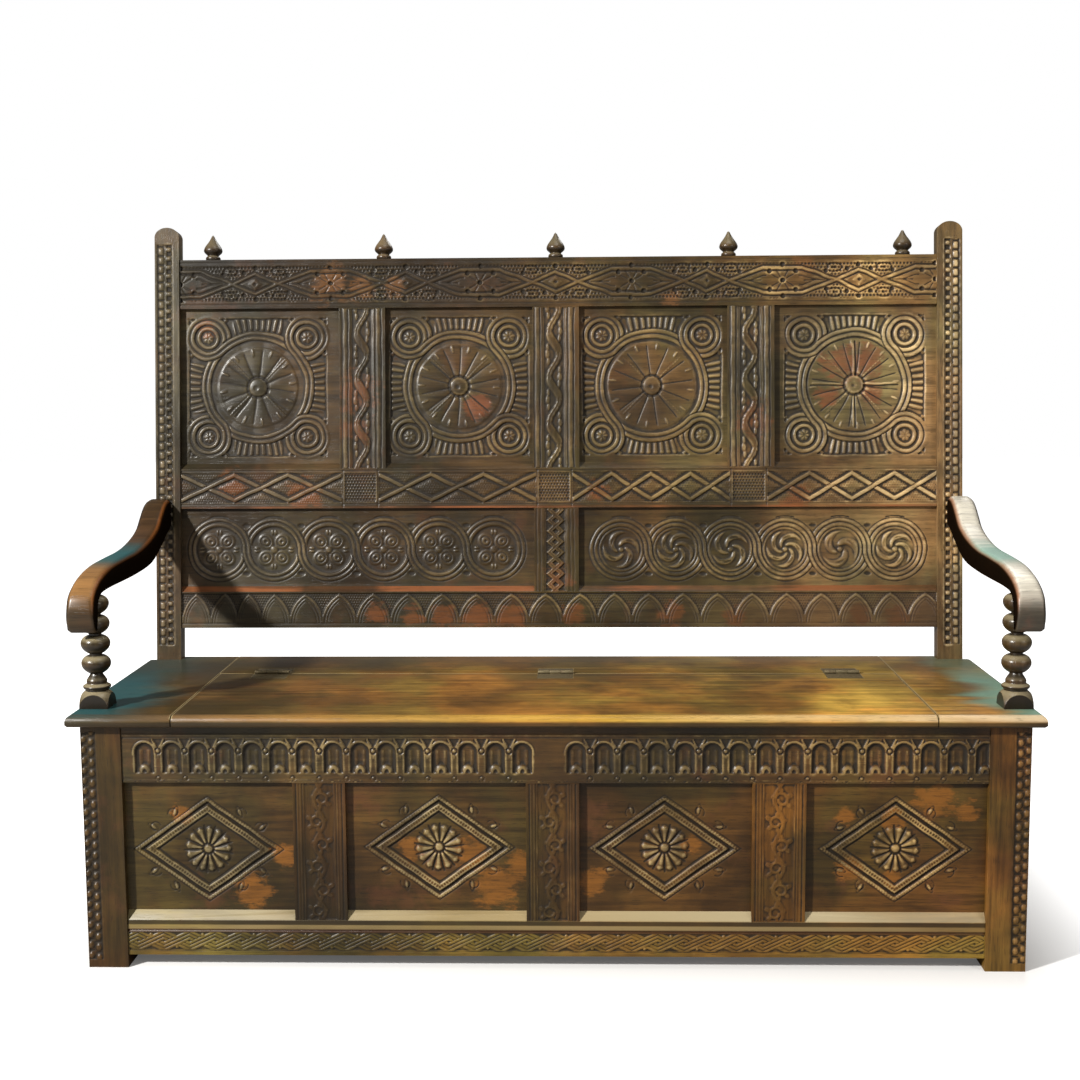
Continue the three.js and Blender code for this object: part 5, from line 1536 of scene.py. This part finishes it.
class SETTLE_OT_arms(bpy.types.Operator):
    """Shapes the scrolled arms and turns their bobbin supports"""

    bl_idname = "settle.arms"
    bl_label = "Arms and supports"

    def execute(self, context):
        coats, sizes = finishes(), context.scene.settle_sizes
        for side, sign in SIDES:
            settle_in(self.arm(side, sizes), f"arm_{side}", coats["Oak arm"])
            settle_in(self.support(side, sign, sizes), f"arm_support_{side}", coats["Oak turned"])
        return {"FINISHED"}

    def arm(self, side, sizes):
        """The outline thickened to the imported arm's width, with its edges rounded most where hands lie."""
        outline, tenon = arm_outline(), 0.03
        lo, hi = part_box(f"arm_{side}")
        arm = start_from(bpy.ops.mesh.primitive_circle_add, vertices=len(outline), fill_type="NGON")
        for vertex, (y, z, _) in zip(arm.data.vertices, outline):
            vertex.co = (lo.x, y, z)
        bpy.ops.object.mode_set(mode="EDIT")
        bpy.ops.mesh.select_all(action="SELECT")
        bpy.ops.mesh.extrude_region_move(TRANSFORM_OT_translate={"value": (hi.x - lo.x, 0, 0)})
        bpy.ops.mesh.select_all(action="SELECT")
        bpy.ops.mesh.normals_make_consistent(inside=False)
        bpy.ops.object.mode_set(mode="OBJECT")
        weights = arm.data.attributes.new("bevel_weight_edge", "FLOAT", "EDGE")
        for edge, weight in zip(arm.data.edges, weights.data):
            a, b = (arm.data.vertices[i].co for i in edge.vertices)
            at_post = min(a.y, b.y) > outline[0][0] - tenon and abs(a.z - b.z) > tenon
            if abs(a.x - b.x) < WELD and not at_post:
                weight.value = min(outline, key=lambda point: math.hypot(point[0] - a.y, point[1] - a.z))[2]
        rounded = arm.modifiers.new("rounded", "BEVEL")
        rounded.width, rounded.segments, rounded.limit_method = sizes.arm_round, 6, "WEIGHT"
        rounded.use_clamp_overlap = False
        bpy.ops.object.modifier_apply(modifier=rounded.name)
        bpy.ops.object.shade_smooth_by_angle(angle=math.radians(40))
        arm.name = f"scrolled_arm_{side}"
        return arm

    def support(self, side, sign, sizes):
        """A square block under a dome, a bell and a run of bobbins up into the arm."""
        half, dome_radius, block_top = 0.027, math.hypot(0.027, 0.0265), SEAT_TOP + 0.033
        bell, bell_radius, count, overlap = 0.029, 0.025, 4, 0.012
        centre = Vector((sign * SUPPORT_X, SUPPORT_Y, 0))
        top = ARM_FOOT + ARM_RISE * 0.341
        profile = [(0, SEAT_TOP + overlap), (bell_radius * 0.86, SEAT_TOP + overlap)]
        bell_shape = [(0.86, 0), (1.0, 0.12), (1.0, 0.26), (0.76, 0.40), (0.74, 0.62), (0.50, 0.95)]
        profile += [(r * bell_radius, block_top + z * bell) for r, z in curve_through(bell_shape, 4)]
        pitch = (top - block_top - bell) / count
        neck, swell = sizes.neck_radius, sizes.bobbin_radius - sizes.neck_radius
        for bobbin in range(count):
            middle = block_top + bell + (bobbin + 0.5) * pitch
            for turn in (math.pi * step / 16 for step in range(17)):
                height = middle + pitch * (0.05 * math.sin(turn) - 0.46 * math.cos(turn))
                profile.append((neck + swell * math.sin(turn) ** 1.35, height))
        profile += [(neck, top + overlap), (0, top + overlap)]
        column = turned_piece(f"turned_support_{side}", profile, centre, sizes.lathe_steps)
        shoulder = [(0, SEAT_TOP - 0.01), (dome_radius, SEAT_TOP - 0.01)]
        for turn in (step / 16 * math.pi / 2 for step in range(17)):
            shoulder.append((dome_radius * math.cos(turn), SEAT_TOP + dome_radius * math.sin(turn)))
        cutter = turned_piece("shoulder", shoulder, centre, sizes.lathe_steps + 8)
        block = start_from(bpy.ops.mesh.primitive_cube_add, size=1)
        for vertex in block.data.vertices:
            height = SEAT_TOP + GAP if vertex.co.z < 0 else block_top
            vertex.co = centre + Vector((vertex.co.x * 2 * half, vertex.co.y * 2 * half, height))
        for operation, other in (("INTERSECT", cutter), ("UNION", column)):
            modifier = block.modifiers.new(operation, "BOOLEAN")
            modifier.operation, modifier.object, modifier.solver = operation, other, "EXACT"
            bpy.ops.object.modifier_apply(modifier=modifier.name)
            bpy.data.objects.remove(other)
        bpy.ops.object.shade_smooth_by_angle(angle=math.radians(35))
        block.name = f"turned_support_{side}"
        return block


def turned_piece(name, profile, centre, steps):
    """Spins a profile of (radius, height) about an upright line through the centre."""
    piece = start_from(bpy.ops.mesh.primitive_plane_add, size=0.01)
    bpy.ops.object.mode_set(mode="EDIT")
    bpy.ops.mesh.select_all(action="SELECT")
    bpy.ops.mesh.merge(type="CENTER")
    edit = bmesh.from_edit_mesh(piece.data)
    edit.verts.ensure_lookup_table()
    edit.verts[0].co = (centre.x + profile[0][0], centre.y, profile[0][1])
    edit.verts[0].select_set(True)
    bmesh.update_edit_mesh(piece.data)
    for (r0, z0), (r1, z1) in zip(profile, profile[1:]):
        bpy.ops.mesh.extrude_region_move(TRANSFORM_OT_translate={"value": (r1 - r0, 0, z1 - z0)})
    bpy.ops.mesh.select_all(action="SELECT")
    bpy.ops.mesh.spin(steps=steps, angle=math.tau, center=(centre.x, centre.y, 0), axis=(0, 0, 1))
    bpy.ops.mesh.select_all(action="SELECT")
    bpy.ops.mesh.remove_doubles(threshold=1e-5)
    bpy.ops.mesh.normals_make_consistent(inside=False)
    bpy.ops.object.mode_set(mode="OBJECT")
    piece.name = name
    return piece


class SETTLE_OT_finials(bpy.types.Operator):
    """Turns the five finials of the top rail"""

    bl_idname = "settle.finials"
    bl_label = "Finials"

    def execute(self, context):
        coat, sizes = finishes()["Oak turned"], context.scene.settle_sizes
        radius, height = 0.0198, 0.055
        shape = (
            (0.74, 0.0), (0.80, 0.05), (0.76, 0.12), (0.60, 0.17), (0.66, 0.21), (0.92, 0.30), (1.0, 0.39),
            (0.89, 0.51), (0.67, 0.63), (0.43, 0.75), (0.26, 0.86), (0.14, 0.95),
        )
        run = [(0, 0), *[(r * radius, z * height) for r, z in curve_through(shape, 4)], (0, height)]
        foot = BACK["origin"] + BACK["up"] * 0.8663 - BACK["out"] * 0.014
        for number in range(1, 6):
            lo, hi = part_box(f"finial_{number}")
            finial = turned_piece(f"turned_finial_{number}", run, Vector((0, 0, 0)), sizes.lathe_steps)
            place = Matrix.Translation(((lo + hi).x / 2, foot.y, foot.z))
            finial.data.transform(place @ Matrix.Rotation(-RAKE, 4, "X"))
            bpy.ops.object.shade_smooth_by_angle(angle=math.radians(50))
            settle_in(finial, f"finial_{number}", coat)
        return {"FINISHED"}


class SETTLE_OT_hinges(bpy.types.Operator):
    """Finishes the iron butt hinges"""

    bl_idname = "settle.hinges"
    bl_label = "Hinges"

    def execute(self, context):
        coat = finishes()["Hinge iron"]
        for number in (1, 2, 3):
            for leaf, body in (("fixed", "frame"), ("moving", "lid")):
                plain(f"hinge_{leaf}_leaf_{number}", coat, body=body, arris=0.25 * MM)
        return {"FINISHED"}


class SETTLE_PT_panel(bpy.types.Panel):
    bl_idname = "SETTLE_PT_panel"
    bl_label = "Carved settle"
    bl_space_type = "VIEW_3D"
    bl_region_type = "UI"
    bl_category = "Settle"

    def draw(self, context):
        for group in (context.scene.settle_sizes, context.scene.settle_colours):
            for key in group.__annotations__:
                self.layout.prop(group, key)
        for operator in OPERATORS:
            self.layout.operator(operator.bl_idname)


OPERATORS = (
    SETTLE_OT_stage,
    SETTLE_OT_back_rails,
    SETTLE_OT_back_panels,
    SETTLE_OT_box_front,
    SETTLE_OT_posts,
    SETTLE_OT_box_ends,
    SETTLE_OT_seat,
    SETTLE_OT_arms,
    SETTLE_OT_finials,
    SETTLE_OT_hinges,
)
CLASSES = (SettleSizes, SettleColours, *OPERATORS, SETTLE_PT_panel)


def register():
    for cls in CLASSES:
        bpy.utils.register_class(cls)
    bpy.types.Scene.settle_sizes = PointerProperty(type=SettleSizes)
    bpy.types.Scene.settle_colours = PointerProperty(type=SettleColours)


def unregister():
    del bpy.types.Scene.settle_colours
    del bpy.types.Scene.settle_sizes
    for cls in reversed(CLASSES):
        bpy.utils.unregister_class(cls)


def main():
    register()
    for operator in OPERATORS:
        group, name = operator.bl_idname.split(".")
        getattr(getattr(bpy.ops, group), name)()


if __name__ == "__main__":
    main()
